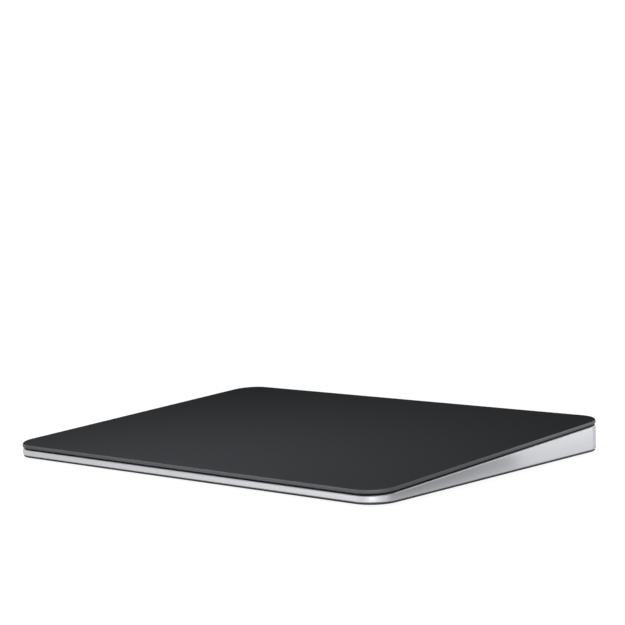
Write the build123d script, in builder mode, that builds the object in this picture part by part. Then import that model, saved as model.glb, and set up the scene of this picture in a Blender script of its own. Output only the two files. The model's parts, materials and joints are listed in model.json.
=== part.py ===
from build123d import *
import os
from math import atan, cos, sin, tan

os.makedirs("parts", exist_ok=True)

# A wedge-shaped glass trackpad, in millimetres. The origin is the middle of the footprint at
# table level. +X is to the right of the person using it, +Y is away from them, towards the
# thick rear edge, and +Z is up.

# Outside sizes
width = 160.0
depth = 114.9
front_height = 4.9
rear_height = 10.9
corner_radius = 8.5

# The glass top slopes up to the rear. Everything that belongs to the glass lies parallel to it.
tilt = atan((rear_height - front_height) / depth)
mid_height = (front_height + rear_height) / 2
up_from_glass = (0, -sin(tilt), cos(tilt))
glass_top = Plane(origin=(0, 0, mid_height), x_dir=(1, 0, 0), z_dir=up_from_glass)
glass_axis = Axis((0, 0, mid_height), up_from_glass)
straight_down = (0, 0, -1)
side_signs = (-1, 1)


def layer(drop):
    """A plane parallel to the glass, this far under its top face."""
    return glass_top.offset(-drop)


def height_under(drop, y):
    """Height above the table of such a plane, over a place on the plan."""
    return mid_height + y * tan(tilt) - drop / cos(tilt)


def upright_section(x):
    """A plane across the slope at x. Its first axis runs up the slope, its second off the glass."""
    return Plane(origin=(x, 0, mid_height), x_dir=(0, cos(tilt), sin(tilt)), z_dir=(1, 0, 0))


def side_view(x):
    """An upright plane at x, with depth as its first axis and height as its second."""
    return Plane(origin=(x, 0, 0), x_dir=(0, 1, 0), z_dir=(1, 0, 0))


def rear_view(y):
    """An upright plane at y, seen from the front, whose outward side is towards the user."""
    return Plane(origin=(0, y, 0), x_dir=(1, 0, 0), z_dir=(0, -1, 0))


def spread(left, right, lengths):
    """Middles of a row of pieces of these lengths, with even gaps between two ends."""
    gap = (right - left - sum(lengths)) / (len(lengths) + 1)
    starts = [left + (n + 1) * gap + sum(lengths[:n]) for n in range(len(lengths))]
    return [start + length / 2 for start, length in zip(starts, lengths)]


# Upright stack of the base
foot_drop = 0.55
plate_edge = 0.6
plug_height = 0.45
case_bottom = foot_drop + plate_edge
floor_top = case_bottom + plug_height

# Case
case_wall = 1.6
case_edge_break = 0.3
rim_gap = 0.6
rib_thickness = 1.2
rib_foot_break = 0.5

# Glass, its black ring and what is bonded under it, counted down from the top of the glass
glass_thickness = 1.25
glass_edge_round = 0.55
glass_edge_break = 0.15
frame_thickness = 0.15
frame_inset = 0.35
frame_width = 1.65
adhesive_thickness = 0.1
board_thickness = 0.5
board_gap = 0.6
stiffener_thickness = 0.3
stiffener_side_inset = 9.0
stiffener_end_inset = 5.45
stiffener_round = 4.0
rim_drop = glass_thickness + rim_gap
board_top_drop = glass_thickness + adhesive_thickness
board_bottom_drop = board_top_drop + board_thickness
stiffener_bottom_drop = board_bottom_drop + stiffener_thickness
stiffener_width = width - 2 * stiffener_side_inset
stiffener_depth = depth - 2 * stiffener_end_inset

# Travel of the glass plate, and the room that is kept round it
press_travel = 0.2
shake_travel = 0.1
running_gap = 0.3

# A little room past the end of a screw, a recess or a cut
hole_end_room = 0.05

# Force tabs: spring tongues that carry the plate on silicone pads
tab_end_inset = 19.45
tab_root_inset = 5.5
tab_root_length = 6.0
tab_root_width = 14.0
tab_reach = 14.0
tab_tip_radius = 4.5
tab_beam_width = 6.0
tab_corner = 0.8
tab_thickness = 0.4
tab_screw_spacing = 8.0
gel_size = 7.0
gel_thickness = 0.6
gauge_length = 4.0
gauge_width = 3.0
gauge_thickness = 0.1
tab_y = depth / 2 - tab_end_inset
tab_root_x = width / 2 - tab_root_inset
tab_tip_x = tab_root_x - tab_reach
tab_top_drop = stiffener_bottom_drop + gel_thickness
tab_bottom_drop = tab_top_drop + tab_thickness
tab_head_height = gel_thickness + stiffener_thickness - press_travel - running_gap - hole_end_room
gauge_x = (tab_tip_x + tab_tip_radius + tab_root_x - tab_root_length / 2) / 2

# Feet and the screws above them, and what stands in the case's corners round these screws
foot_inset = 10.0
foot_radius = 4.25
foot_recess = 0.25
foot_edge_break = 0.3
foot_gap = 0.1
plate_inset = 0.3
plate_edge_break = 0.2
plug_gap = 0.15
gusset_margin = 2.3
seat_margin = 0.5
foot_thickness = foot_drop + foot_recess
foot_x = width / 2 - foot_inset
foot_y = depth / 2 - foot_inset
gusset_reach_x = foot_x - gusset_margin
gusset_reach_y = foot_y - gusset_margin
seat_reach_x = tab_root_x - tab_root_length / 2 - seat_margin

# Small screws: a pan head with a six-sided socket, and a plain shank. They are so small that
# polygons stand for their round heads and shanks, and for the holes that take them.
screw_head_sides = 10
screw_shank_sides = 6
screw_head_radius = 1.25
screw_head_height = 0.45
screw_shank_radius = 0.6
screw_socket_radius = 0.55
socket_share = 0.6
screw_thread_gap = 0.05
screw_hole_gap = 0.15
boss_width = 4.4
tab_screw_length = 1.1
base_head_height = 0.35
base_screw_length = 0.9

# Magnet that shakes the plate: two pressed iron cores facing one iron bar, in a folded steel
# pan. The cores are as high as the space over the base plate allows at the low end of the pan.
magnet_share = 0.087
core_width = 18.0
core_side_room = 3.5
core_back = 3.0
core_pole_length = 9.0
outer_pole_width = 3.0
middle_pole_width = 4.0
middle_pole_share = 0.55
coil_length = 6.6
coil_side_gap = 1.4
coil_gap = 0.05
armature_width = 4.0
pan_thickness = 0.3
pan_bend = 0.35
pan_wall_gap = 0.3
pan_flange = 5.0
pan_end_room = 2.6
pan_floor_gap = 0.17
magnet_screw_inset = 4.0
magnet_screw_length = 1.0
magnet_y = -magnet_share * depth
magnet_gap = shake_travel + running_gap
front_rib_y = magnet_y - core_width / 2 - core_side_room
rear_rib_y = magnet_y + core_width / 2 + core_side_room
pan_front_y = front_rib_y + rib_thickness / 2 + pan_wall_gap
pan_rear_y = rear_rib_y - rib_thickness / 2 - pan_wall_gap
magnet_top_drop = stiffener_bottom_drop + press_travel + running_gap
core_room = height_under(magnet_top_drop, pan_front_y) - floor_top
core_height = core_room - pan_thickness - pan_floor_gap
middle_pole_height = core_height * middle_pole_share
coil_width = core_width - 2 * (outer_pole_width + coil_side_gap)
magnet_bottom_drop = magnet_top_drop + core_height
pole_face_x = armature_width / 2 + magnet_gap
pole_root_x = pole_face_x + core_pole_length
core_back_x = pole_root_x + core_back
pan_length = 2 * (core_back_x + pan_end_room)
pan_flange_drop = magnet_top_drop + screw_head_height + hole_end_room
pan_seat_drop = pan_flange_drop + pan_thickness
magnet_screw_x = pan_length / 2 - magnet_screw_inset
magnet_screw_front_y = front_rib_y - rib_thickness / 2 - boss_width / 4
magnet_screw_rear_y = rear_rib_y + rib_thickness / 2 + boss_width / 4
magnet_screw_places = [
    (x, y)
    for x in (-magnet_screw_x, magnet_screw_x)
    for y in (magnet_screw_front_y, magnet_screw_rear_y)
]

# Two ribs stand beside the tips of the force tabs, from the front wall to the main board.
rib_tab_gap = 2.4
rib_end_gap = 1.3
rib_x = tab_tip_x - tab_tip_radius - rib_tab_gap - rib_thickness / 2
rib_face_x = rib_x - rib_thickness / 2

# Charging port, with a metal shell of the standard reversible size, and the clip over it. It is
# halfway up the rear wall, and the main board lies under it.
port_width = 8.94
port_height = 3.26
port_wall = 0.3
port_length = 7.35
port_recess = 0.25
port_gap = 0.2
port_lead_in = 0.3
port_back = 0.4
tongue_side_room = 1.125
tongue_thickness = 0.7
tongue_short = 1.2
contact_count = 12
contact_pitch = 0.5
contact_width = 0.25
contact_length = 3.5
contact_thickness = 0.05
clip_thickness = 0.3
clip_width = 4.4
clip_flange = 6.2
clip_bend = 0.4
clip_gap = 0.1
clip_screw_inset = 1.9
port_z = (case_bottom + rear_height - rim_drop) / 2
port_mouth_y = depth / 2 - port_recess
port_back_y = port_mouth_y - port_length
clip_side_x = port_width / 2 + clip_gap + clip_thickness / 2
clip_reach = clip_side_x + clip_flange
port_screw_x = clip_reach - clip_screw_inset

# Main board, along the rear wall
main_board_depth = 8.6
main_rear_gap = 0.45
main_thickness = 0.8
board_screw_inset = 2.6
boss_front_gap = 2.2
screw_bite_share = 0.7
main_top = port_z - port_height / 2
main_bottom = main_top - main_thickness
board_screw_length = main_thickness + (main_bottom - floor_top) * screw_bite_share
main_rear_y = depth / 2 - case_wall - main_rear_gap
main_front_y = main_rear_y - main_board_depth
main_centre_y = (main_front_y + main_rear_y) / 2
board_screw_y = main_rear_y - board_screw_inset
rib_end_y = main_front_y - rib_end_gap

# Ribbons. They lie on the base plate beside each other, and go up only where they plug in.
ribbon_thickness = 0.15
ribbon_width = 2.4
ribbon_spacing = 0.5
ribbon_side_gap = 0.2
gauge_ribbon_gap = 2.2
riser_width = 2.0
riser_gap = 0.6
rib_notch_height = 0.6
rib_notch_room = 0.4
gauge_ribbon_x = rib_x + rib_thickness / 2 + gauge_ribbon_gap + ribbon_width / 2
gauge_ribbon_y = main_front_y + ribbon_spacing + ribbon_width / 2
magnet_ribbon_x = -(rib_face_x - rib_foot_break - ribbon_side_gap - ribbon_width / 2)
magnet_ribbon_rear_y = gauge_ribbon_y - ribbon_width - ribbon_spacing
magnet_ribbon_start_x = -(pan_length / 2 + riser_gap)

# Battery, lying on the base plate. It fills the space between the magnet, the ribbons, the
# right rib and the plate that moves above it.
tape_thickness = 0.1
tape_inset = 2.0
cell_front_gap = 1.2
cell_top_gap = 0.4
cell_edge_break = 0.8
cell_corner = 1.6
seal_length = 3.0
seal_thickness = 0.4
seal_inset = 1.0
guard_board_gap = 0.6
guard_board_length = 5.2
guard_board_side_gap = 0.4
guard_board_inset = 6.0
guard_board_height = 0.8
tab_strip_width = 4.0
tab_strip_thickness = 0.12
tab_strip_share = 0.29
cell_bottom = floor_top + tape_thickness
cell_left_x = magnet_ribbon_x + ribbon_width / 2 + ribbon_spacing
cell_front_y = pan_rear_y + pan_flange + cell_front_gap
cell_rear_y = magnet_ribbon_rear_y - ribbon_width / 2 - ribbon_spacing
guard_board_x = rib_face_x - guard_board_side_gap - guard_board_length / 2
cell_right_x = guard_board_x - guard_board_length / 2 - guard_board_gap - seal_length
cell_length = cell_right_x - cell_left_x
cell_depth = cell_rear_y - cell_front_y
cell_top = height_under(stiffener_bottom_drop, cell_front_y) - press_travel - cell_top_gap
cell_height = cell_top - cell_bottom
cell_middle_z = cell_bottom + cell_height / 2
cell_centre_x = (cell_left_x + cell_right_x) / 2
cell_centre_y = (cell_front_y + cell_rear_y) / 2
guard_board_width = cell_depth - 2 * guard_board_inset
guard_board_top = floor_top + guard_board_height
tab_strip_offset = guard_board_width * tab_strip_share

# Power switch, in the rear wall on the left
switch_share = 0.54
switch_travel = 2.6
knob_width = 4.4
knob_height = 2.0
knob_recess = 0.15
knob_edge_break = 0.25
grip_count = 3
grip_pitch = 1.0
grip_width = 0.35
grip_depth = 0.15
carrier_thickness = 0.5
carrier_side = 3.2
carrier_height = 3.2
carrier_wall_gap = 0.25
stem_width = 1.6
stem_height = 1.2
stem_length = 2.1
mark_thickness = 0.08
mark_margin = 0.2
shelf_drop = 2.2
shelf_margin = 0.1
switch_body_length = 9.4
switch_body_depth = 4.1
switch_body_gap = 0.2
ear_length = 2.2
ear_thickness = 1.0
switch_corner = 0.2
switch_screw_head_radius = 0.95
switch_screw_head_height = 0.4
switch_screw_shank_radius = 0.5
switch_x = -switch_share * width / 2
switch_z = port_z
shelf_top = switch_z - shelf_drop
switch_screw_length = ear_thickness + (shelf_top - floor_top) * screw_bite_share
slot_width = knob_width + switch_travel + 2 * running_gap
slot_height = knob_height + 2 * running_gap
carrier_front_y = depth / 2 - case_wall - carrier_wall_gap
carrier_rear_y = carrier_front_y - carrier_thickness
switch_body_front_y = carrier_rear_y - switch_body_gap
switch_body_y = switch_body_front_y - switch_body_depth / 2
switch_rest_x = switch_x - switch_travel / 2
shelf_length = switch_body_length + 2 * ear_length + 2 * shelf_margin
shelf_front_y = switch_body_front_y - switch_body_depth - 2 * shelf_margin
ear_x = switch_body_length / 2 + ear_length / 2
switch_screw_places = [(switch_x - ear_x, switch_body_y), (switch_x + ear_x, switch_body_y)]

# Sockets for the ribbons
connector_height = 0.9
under_connector_depth = 2.4
under_connector_width = 4.0
touch_connector_width = 8.0
touch_connector_depth = 2.6
touch_connector_inset = 3.8
sensor_connector_gap = 6.3
battery_connector_width = 3.2
battery_connector_depth = 4.6
under_connector_height = main_bottom - floor_top - ribbon_thickness
touch_connector_y = main_front_y + touch_connector_inset
sensor_connector_y = main_front_y - sensor_connector_gap

# Chips on the main board
chip_height = 0.8
processor_size = 6.0
processor_height = 0.9
memory_length = 4.0
memory_width = 5.0
power_chip_size = 2.8
power_chip_spacing = 4.0
shield_length = 8.6
shield_width = 7.0
shield_height = 1.4
shield_edge_break = 0.2
antenna_length = 6.0
antenna_width = 1.6
coil_chip_length = 2.4
coil_chip_width = 1.6
capacitor_length = 1.2
capacitor_width = 0.8
capacitor_count = 4
capacitor_pitch = 3.0
front_row_inset = 1.6
board_piece_gap = 1.0
front_row_y = main_front_y + front_row_inset

# The main board reaches from the power switch to past the battery's ribbon. Left of the port
# it has a screw and the touch ribbon's socket, and right of it the chips and the radio.
main_switch_gap = 3.0
main_left_x = switch_x + shelf_length / 2 + main_switch_gap
battery_ribbon_x = guard_board_x
battery_socket_reach = battery_ribbon_x + battery_connector_width / 2
board_screw_left_x, touch_ribbon_x = spread(
    main_left_x, -clip_reach, [boss_width, touch_connector_width]
)
memory_x, processor_x, power_chip_x, shield_x = spread(
    clip_reach,
    battery_ribbon_x - battery_connector_width / 2,
    [memory_length, processor_size, power_chip_size, shield_length],
)
board_screw_right_x = battery_socket_reach + board_piece_gap + boss_width / 2
antenna_x = board_screw_right_x + boss_width / 2 + board_piece_gap + antenna_width / 2
main_right_x = antenna_x + antenna_width / 2 + board_piece_gap
main_centre_x = (main_left_x + main_right_x) / 2

# Where the ribbons end, and how they bend on their way
touch_ribbon_width = 7.0
touch_ribbon_bend = 0.8
touch_ribbon_gap = 0.4
touch_ribbon_step = 1.6
battery_ribbon_width = 3.0
battery_ribbon_bend = 0.8
battery_ribbon_gap = 4.2
battery_ribbon_step = 2.6
magnet_ribbon_end_x = touch_ribbon_x
gauge_ribbon_left_end_x = magnet_ribbon_end_x - under_connector_width
under_left_x = gauge_ribbon_left_end_x - ribbon_thickness - under_connector_width / 2
under_right_x = battery_ribbon_x - battery_connector_width - under_connector_width / 2
gauge_ribbon_right_end_x = under_right_x - under_connector_width / 2 - ribbon_thickness

# Chips of the touch sensing board, and the openings in the stiffener
sensor_chip_size = 6.4
sensor_chip_pitch = 24.0
sensor_chip_count = 3
sensor_chip_gap = 10.5
sensor_window = 9.0
lightening_inner_x = 22.0
lightening_tab_gap = 4.0
lightening_margin = 12.0
lightening_depth = 20.0
sensor_chip_y = sensor_connector_y - sensor_chip_gap
lightening_outer_x = tab_tip_x - tab_tip_radius - lightening_tab_gap
lightening_width = lightening_outer_x - lightening_inner_x
lightening_x = (lightening_outer_x + lightening_inner_x) / 2
lightening_y = -(stiffener_depth / 2 - lightening_margin - lightening_depth / 2)


def add_screws(plane, places, head_radius, head_height, shank_radius, shank_length):
    """Pan-head screws standing on a plane, head up, inside the part that is being built."""
    with BuildSketch(plane) as heads:
        with Locations(*places):
            RegularPolygon(head_radius, screw_head_sides)
    extrude(heads.sketch, amount=head_height)
    with BuildSketch(plane) as shanks:
        with Locations(*places):
            RegularPolygon(shank_radius, screw_shank_sides)
    extrude(shanks.sketch, amount=-shank_length)
    with BuildSketch(plane.offset(head_height)) as sockets:
        with Locations(*places):
            RegularPolygon(screw_socket_radius, screw_shank_sides)
    extrude(sockets.sketch, amount=-head_height * socket_share, mode=Mode.SUBTRACT)


tab_screw_places = [
    (sx * tab_root_x, sy * tab_y + dy)
    for sx in side_signs
    for sy in side_signs
    for dy in (-tab_screw_spacing / 2, tab_screw_spacing / 2)
]
foot_places = [(sx * foot_x, sy * foot_y) for sx in side_signs for sy in side_signs]
board_screw_places = [(board_screw_left_x, board_screw_y), (board_screw_right_x, board_screw_y)]
port_screw_places = [(-port_screw_x, board_screw_y), (port_screw_x, board_screw_y)]

# Case: a wedge machined from one block of aluminium. Four upright walls, open above and below,
# with ribs, corner gussets, seats for the force tabs and bosses for the boards left standing.
inner_width = width - 2 * case_wall
inner_depth = depth - 2 * case_wall
inner_radius = corner_radius - case_wall

with BuildPart() as case:
    with BuildSketch(Plane.XY.offset(case_bottom)):
        RectangleRounded(width, depth, corner_radius)
    extrude(amount=rear_height)
    split(bisect_by=layer(rim_drop), keep=Keep.BOTTOM)
    chamfer(case.faces().sort_by(glass_axis)[-1].edges(), case_edge_break)
    chamfer(case.faces().sort_by(Axis.Z)[0].edges(), case_edge_break)
    with BuildSketch(Plane.XY.offset(case_bottom)):
        RectangleRounded(inner_width, inner_depth, inner_radius)
    extrude(amount=rear_height, mode=Mode.SUBTRACT)
    # Two ribs run from the front wall to the rear bay.
    rib_front_y = -depth / 2 + case_wall / 2
    with BuildSketch(layer(tab_top_drop)):
        with Locations(
            (-rib_x, (rib_front_y + rib_end_y) / 2),
            (rib_x, (rib_front_y + rib_end_y) / 2),
        ):
            Rectangle(rib_thickness, rib_end_y - rib_front_y)
    extrude(amount=rear_height, dir=straight_down)
    # Two lower ribs join them and carry the magnet on square pads.
    with BuildSketch(layer(pan_seat_drop)):
        with Locations((0, front_rib_y), (0, rear_rib_y)):
            Rectangle(2 * rib_x, rib_thickness)
        with Locations(*magnet_screw_places):
            Rectangle(boss_width, boss_width)
    extrude(amount=rear_height, dir=straight_down)
    # A gusset in each corner takes the base screw, and a seat beside it takes the force tab.
    gusset_length = (width - case_wall) / 2 - gusset_reach_x
    gusset_depth = (depth - case_wall) / 2 - gusset_reach_y
    seat_length = (width - case_wall) / 2 - seat_reach_x
    gusset_x = gusset_reach_x + gusset_length / 2
    gusset_y = gusset_reach_y + gusset_depth / 2
    with BuildSketch(layer(tab_top_drop)):
        with Locations(*[(sx * gusset_x, sy * gusset_y) for sx in side_signs for sy in side_signs]):
            Rectangle(gusset_length, gusset_depth)
        # They follow the rounded corner of the wall that they stand in.
        RectangleRounded(
            width - case_wall,
            depth - case_wall,
            corner_radius - case_wall / 2,
            mode=Mode.INTERSECT,
        )
    extrude(amount=rear_height, dir=straight_down)
    seat_x = seat_reach_x + seat_length / 2
    with BuildSketch(layer(tab_bottom_drop)):
        with Locations(*[(sx * seat_x, sy * tab_y) for sx in side_signs for sy in side_signs]):
            Rectangle(seat_length, tab_root_width + rib_thickness)
    extrude(amount=rear_height, dir=straight_down)
    # Bosses along the rear wall hold the main board.
    boss_depth = (depth - case_wall) / 2 - board_screw_y + boss_front_gap
    with BuildSketch(Plane.XY.offset(main_bottom)):
        for x, y in board_screw_places + port_screw_places:
            with Locations((x, y - boss_front_gap + boss_depth / 2)):
                Rectangle(boss_width, boss_depth)
    extrude(amount=rear_height, dir=straight_down)
    # A shelf behind the slot holds the power switch.
    shelf_depth = (depth - case_wall) / 2 - shelf_front_y
    with BuildSketch(Plane.XY.offset(shelf_top)):
        with Locations((switch_x, shelf_front_y + shelf_depth / 2)):
            Rectangle(shelf_length, shelf_depth)
    extrude(amount=rear_height, dir=straight_down)
    # All of these stop at the base plate.
    split(bisect_by=Plane.XY.offset(case_bottom), keep=Keep.TOP)
    with BuildSketch(Plane.XY.offset(case_bottom)):
        RectangleRounded(inner_width, inner_depth, inner_radius)
    extrude(amount=plug_height, mode=Mode.SUBTRACT)
    # A small flat fills the corners where ribs meet each other and the front wall.
    rib_corners = case.edges().filter_by(Axis.Z).filter_by(
        lambda edge: abs(abs(edge.center().X) - rib_x) < rib_thickness
        and abs(edge.center().Y) < inner_depth / 2 + hole_end_room
    )
    chamfer(rib_corners, rib_foot_break)
    # The charging port's opening, with a small lead-in.
    with BuildSketch(rear_view(depth / 2)):
        with Locations((0, port_z)):
            SlotOverall(port_width + 2 * port_gap, port_height + 2 * port_gap)
    extrude(amount=case_wall + main_rear_gap, mode=Mode.SUBTRACT)
    with BuildSketch(rear_view(depth / 2)):
        with Locations((0, port_z)):
            SlotOverall(
                port_width + 2 * port_gap + 2 * port_lead_in,
                port_height + 2 * port_gap + 2 * port_lead_in,
            )
    extrude(amount=port_lead_in, taper=45, mode=Mode.SUBTRACT)
    # The power switch's slot.
    with BuildSketch(rear_view(depth / 2)):
        with Locations((switch_x, switch_z)):
            SlotOverall(slot_width, slot_height)
    extrude(amount=case_wall + carrier_wall_gap, mode=Mode.SUBTRACT)
    # Screw holes.
    with BuildSketch(layer(tab_bottom_drop)):
        with Locations(*tab_screw_places):
            RegularPolygon(screw_shank_radius + screw_thread_gap, screw_shank_sides)
    extrude(amount=-(tab_screw_length - tab_thickness + hole_end_room), mode=Mode.SUBTRACT)
    with BuildSketch(layer(pan_seat_drop)):
        with Locations(*magnet_screw_places):
            RegularPolygon(screw_shank_radius + screw_thread_gap, screw_shank_sides)
    extrude(amount=-(magnet_screw_length - pan_thickness + hole_end_room), mode=Mode.SUBTRACT)
    with BuildSketch(Plane.XY.offset(floor_top)):
        with Locations(*foot_places):
            RegularPolygon(screw_shank_radius + screw_thread_gap, screw_shank_sides)
    base_hole_depth = foot_drop + foot_recess + base_head_height + base_screw_length - floor_top
    extrude(amount=base_hole_depth + hole_end_room, mode=Mode.SUBTRACT)
    with BuildSketch(Plane.XY.offset(main_bottom)):
        with Locations(*(board_screw_places + port_screw_places)):
            RegularPolygon(screw_shank_radius + screw_thread_gap, screw_shank_sides)
    extrude(amount=-(board_screw_length - main_thickness + hole_end_room), mode=Mode.SUBTRACT)
    with BuildSketch(Plane.XY.offset(shelf_top)):
        with Locations(*switch_screw_places):
            RegularPolygon(switch_screw_shank_radius + screw_thread_gap, screw_shank_sides)
    extrude(amount=-(switch_screw_length - ear_thickness + hole_end_room), mode=Mode.SUBTRACT)
    # A notch lets the magnet's ribbon pass under the rear rib.
    with BuildSketch(Plane.XY.offset(floor_top)):
        with Locations((magnet_ribbon_x, rear_rib_y)):
            Rectangle(ribbon_width + 2 * rib_notch_room, rib_thickness + 2 * rib_foot_break)
    extrude(amount=rib_notch_height, mode=Mode.SUBTRACT)
case.part.label = "case"
export_step(case.part, "parts/case.step")


def folded_strip(plane, points, bend, thickness, strip_width):
    """A strip of sheet bent along a path in a plane, half its width to each side of the plane."""
    with BuildSketch(plane) as section:
        with BuildLine():
            FilletPolyline(*points, radius=bend)
        trace(line_width=thickness)
    extrude(section.sketch, amount=strip_width / 2, both=True)


def glass_slab(slab_width, slab_depth, slab_radius, top_drop, bottom_drop):
    """A plate with upright edges, between two planes parallel to the glass."""
    with BuildSketch(Plane.XY) as outline:
        RectangleRounded(slab_width, slab_depth, slab_radius)
    extrude(outline.sketch, amount=rear_height + glass_thickness)
    split(bisect_by=layer(top_drop), keep=Keep.BOTTOM)
    split(bisect_by=layer(bottom_drop), keep=Keep.TOP)


# Base plate: a thin flange that closes the case, with a plug that fits inside its walls.
plug_width = inner_width - 2 * plug_gap
plug_depth = inner_depth - 2 * plug_gap
recess_top = foot_drop + foot_recess
head_seat = recess_top + base_head_height

with BuildPart() as base_plate:
    with BuildSketch(Plane.XY.offset(foot_drop)):
        RectangleRounded(width - 2 * plate_inset, depth - 2 * plate_inset, corner_radius - plate_inset)
    extrude(amount=plate_edge)
    chamfer(base_plate.faces().sort_by(Axis.Z)[0].edges(), plate_edge_break)
    with BuildSketch(Plane.XY.offset(case_bottom)):
        RectangleRounded(plug_width, plug_depth, inner_radius - plug_gap)
    extrude(amount=plug_height)
    # Each foot lies in a shallow recess, with the head of a screw above it.
    with BuildSketch(Plane.XY.offset(foot_drop)):
        with Locations(*foot_places):
            Circle(foot_radius + foot_gap)
    extrude(amount=foot_recess, mode=Mode.SUBTRACT)
    with BuildSketch(Plane.XY.offset(recess_top)):
        with Locations(*foot_places):
            RegularPolygon(screw_head_radius + screw_hole_gap, screw_head_sides)
    extrude(amount=base_head_height, mode=Mode.SUBTRACT)
    with BuildSketch(Plane.XY.offset(head_seat)):
        with Locations(*foot_places):
            RegularPolygon(screw_shank_radius + screw_hole_gap, screw_shank_sides)
    extrude(amount=floor_top - head_seat, mode=Mode.SUBTRACT)
base_plate.part.label = "base_plate"
export_step(base_plate.part, "parts/base_plate.step")

# Feet: four rubber discs, bevelled where they meet the table.
foot_names = {
    "foot_front_left": (-foot_x, -foot_y),
    "foot_front_right": (foot_x, -foot_y),
    "foot_rear_left": (-foot_x, foot_y),
    "foot_rear_right": (foot_x, foot_y),
}
for name, (x, y) in foot_names.items():
    with BuildPart() as foot:
        with BuildSketch(Plane((x, y, 0))):
            Circle(foot_radius)
        extrude(amount=foot_thickness)
        chamfer(foot.faces().sort_by(Axis.Z)[0].edges(), foot_edge_break)
    foot.part.label = name
    export_step(foot.part, f"parts/{name}.step")

# Base screws: four, head down, hidden by the feet.
with BuildPart() as base_screws:
    add_screws(
        Plane(origin=(0, 0, head_seat), x_dir=(1, 0, 0), z_dir=straight_down),
        foot_places,
        screw_head_radius,
        base_head_height,
        screw_shank_radius,
        base_screw_length,
    )
base_screws.part.label = "base_screws"
export_step(base_screws.part, "parts/base_screws.step")

# Glass: a plate over the whole top, with a soft round along its upper edge.
with BuildPart() as glass_surface:
    glass_slab(width, depth, corner_radius, 0, glass_thickness)
    fillet(glass_surface.faces().sort_by(glass_axis)[-1].edges(), glass_edge_round)
    chamfer(glass_surface.faces().sort_by(glass_axis)[0].edges(), glass_edge_break)
glass_surface.part.label = "glass_surface"
export_step(glass_surface.part, "parts/glass_surface.step")

# Frame: a black ring bonded under the edge of the glass, set back a little.
frame_reach = frame_inset + frame_width
with BuildPart() as glass_frame:
    glass_slab(
        width - 2 * frame_inset,
        depth - 2 * frame_inset,
        corner_radius - frame_inset,
        glass_thickness,
        glass_thickness + frame_thickness,
    )
    with BuildSketch(Plane.XY):
        RectangleRounded(width - 2 * frame_reach, depth - 2 * frame_reach, corner_radius - frame_reach)
    extrude(amount=rear_height, mode=Mode.SUBTRACT)
glass_frame.part.label = "glass_frame"
export_step(glass_frame.part, "parts/glass_frame.step")

# Adhesive film and touch sensing board, inside the ring and clear of the case walls.
board_inset = case_wall + board_gap
board_width = width - 2 * board_inset
board_depth = depth - 2 * board_inset
board_radius = corner_radius - board_inset

with BuildPart() as glass_adhesive:
    glass_slab(board_width, board_depth, board_radius, glass_thickness, board_top_drop)
glass_adhesive.part.label = "glass_adhesive"
export_step(glass_adhesive.part, "parts/glass_adhesive.step")

with BuildPart() as sensor_board:
    glass_slab(board_width, board_depth, board_radius, board_top_drop, board_bottom_drop)
sensor_board.part.label = "sensor_board"
export_step(sensor_board.part, "parts/sensor_board.step")

# Stiffener: a steel sheet under the board, open round the chips and lightened in front.
sensor_chip_places = [
    ((n - (sensor_chip_count - 1) / 2) * sensor_chip_pitch, sensor_chip_y)
    for n in range(sensor_chip_count)
]
sensor_window_margin = (sensor_window - sensor_chip_size) / 2
with BuildPart() as stiffener_plate:
    with BuildSketch(layer(board_bottom_drop)):
        RectangleRounded(stiffener_width, stiffener_depth, stiffener_round)
        with Locations(*sensor_chip_places):
            Rectangle(sensor_window, sensor_window, mode=Mode.SUBTRACT)
        with Locations((touch_ribbon_x, sensor_connector_y)):
            Rectangle(
                touch_connector_width + 2 * sensor_window_margin,
                touch_connector_depth + 2 * sensor_window_margin,
                mode=Mode.SUBTRACT,
            )
        with Locations((-lightening_x, lightening_y), (lightening_x, lightening_y)):
            Rectangle(lightening_width, lightening_depth, mode=Mode.SUBTRACT)
    extrude(amount=-stiffener_thickness)
stiffener_plate.part.label = "stiffener_plate"
export_step(stiffener_plate.part, "parts/stiffener_plate.step")

# Touch chips and the ribbon's socket, soldered under the board in the stiffener's windows.
with BuildPart() as sensor_chips:
    with BuildSketch(layer(board_bottom_drop)):
        with Locations(*sensor_chip_places):
            Rectangle(sensor_chip_size, sensor_chip_size)
    extrude(amount=-chip_height)
    with BuildSketch(layer(board_bottom_drop)):
        with Locations((touch_ribbon_x, sensor_connector_y)):
            Rectangle(touch_connector_width, touch_connector_depth)
    extrude(amount=-connector_height)
sensor_chips.part.label = "sensor_chips"
export_step(sensor_chips.part, "parts/sensor_chips.step")

# Force tabs: a broad root screwed to its seat, a narrow beam that bends, and a round tip.
beam_reach = tab_root_x - tab_tip_x
beam_x = (tab_root_x + tab_tip_x) / 2
tab_names = {
    "force_tab_front_left": (-1, -1),
    "force_tab_front_right": (1, -1),
    "force_tab_rear_left": (-1, 1),
    "force_tab_rear_right": (1, 1),
}
for name, (sx, sy) in tab_names.items():
    with BuildPart() as force_tab:
        with BuildSketch(layer(tab_top_drop)) as tab_outline:
            with Locations((sx * tab_root_x, sy * tab_y)):
                Rectangle(tab_root_length, tab_root_width)
            with Locations((sx * beam_x, sy * tab_y)):
                Rectangle(beam_reach, tab_beam_width)
            with Locations((sx * tab_tip_x, sy * tab_y)):
                Circle(tab_tip_radius)
            chamfer(tab_outline.vertices(), tab_corner)
            with Locations(
                (sx * tab_root_x, sy * tab_y - tab_screw_spacing / 2),
                (sx * tab_root_x, sy * tab_y + tab_screw_spacing / 2),
            ):
                RegularPolygon(
                    screw_shank_radius + screw_hole_gap,
                    screw_shank_sides,
                    mode=Mode.SUBTRACT,
                )
        extrude(amount=-tab_thickness)
    force_tab.part.label = name
    export_step(force_tab.part, f"parts/{name}.step")

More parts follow.
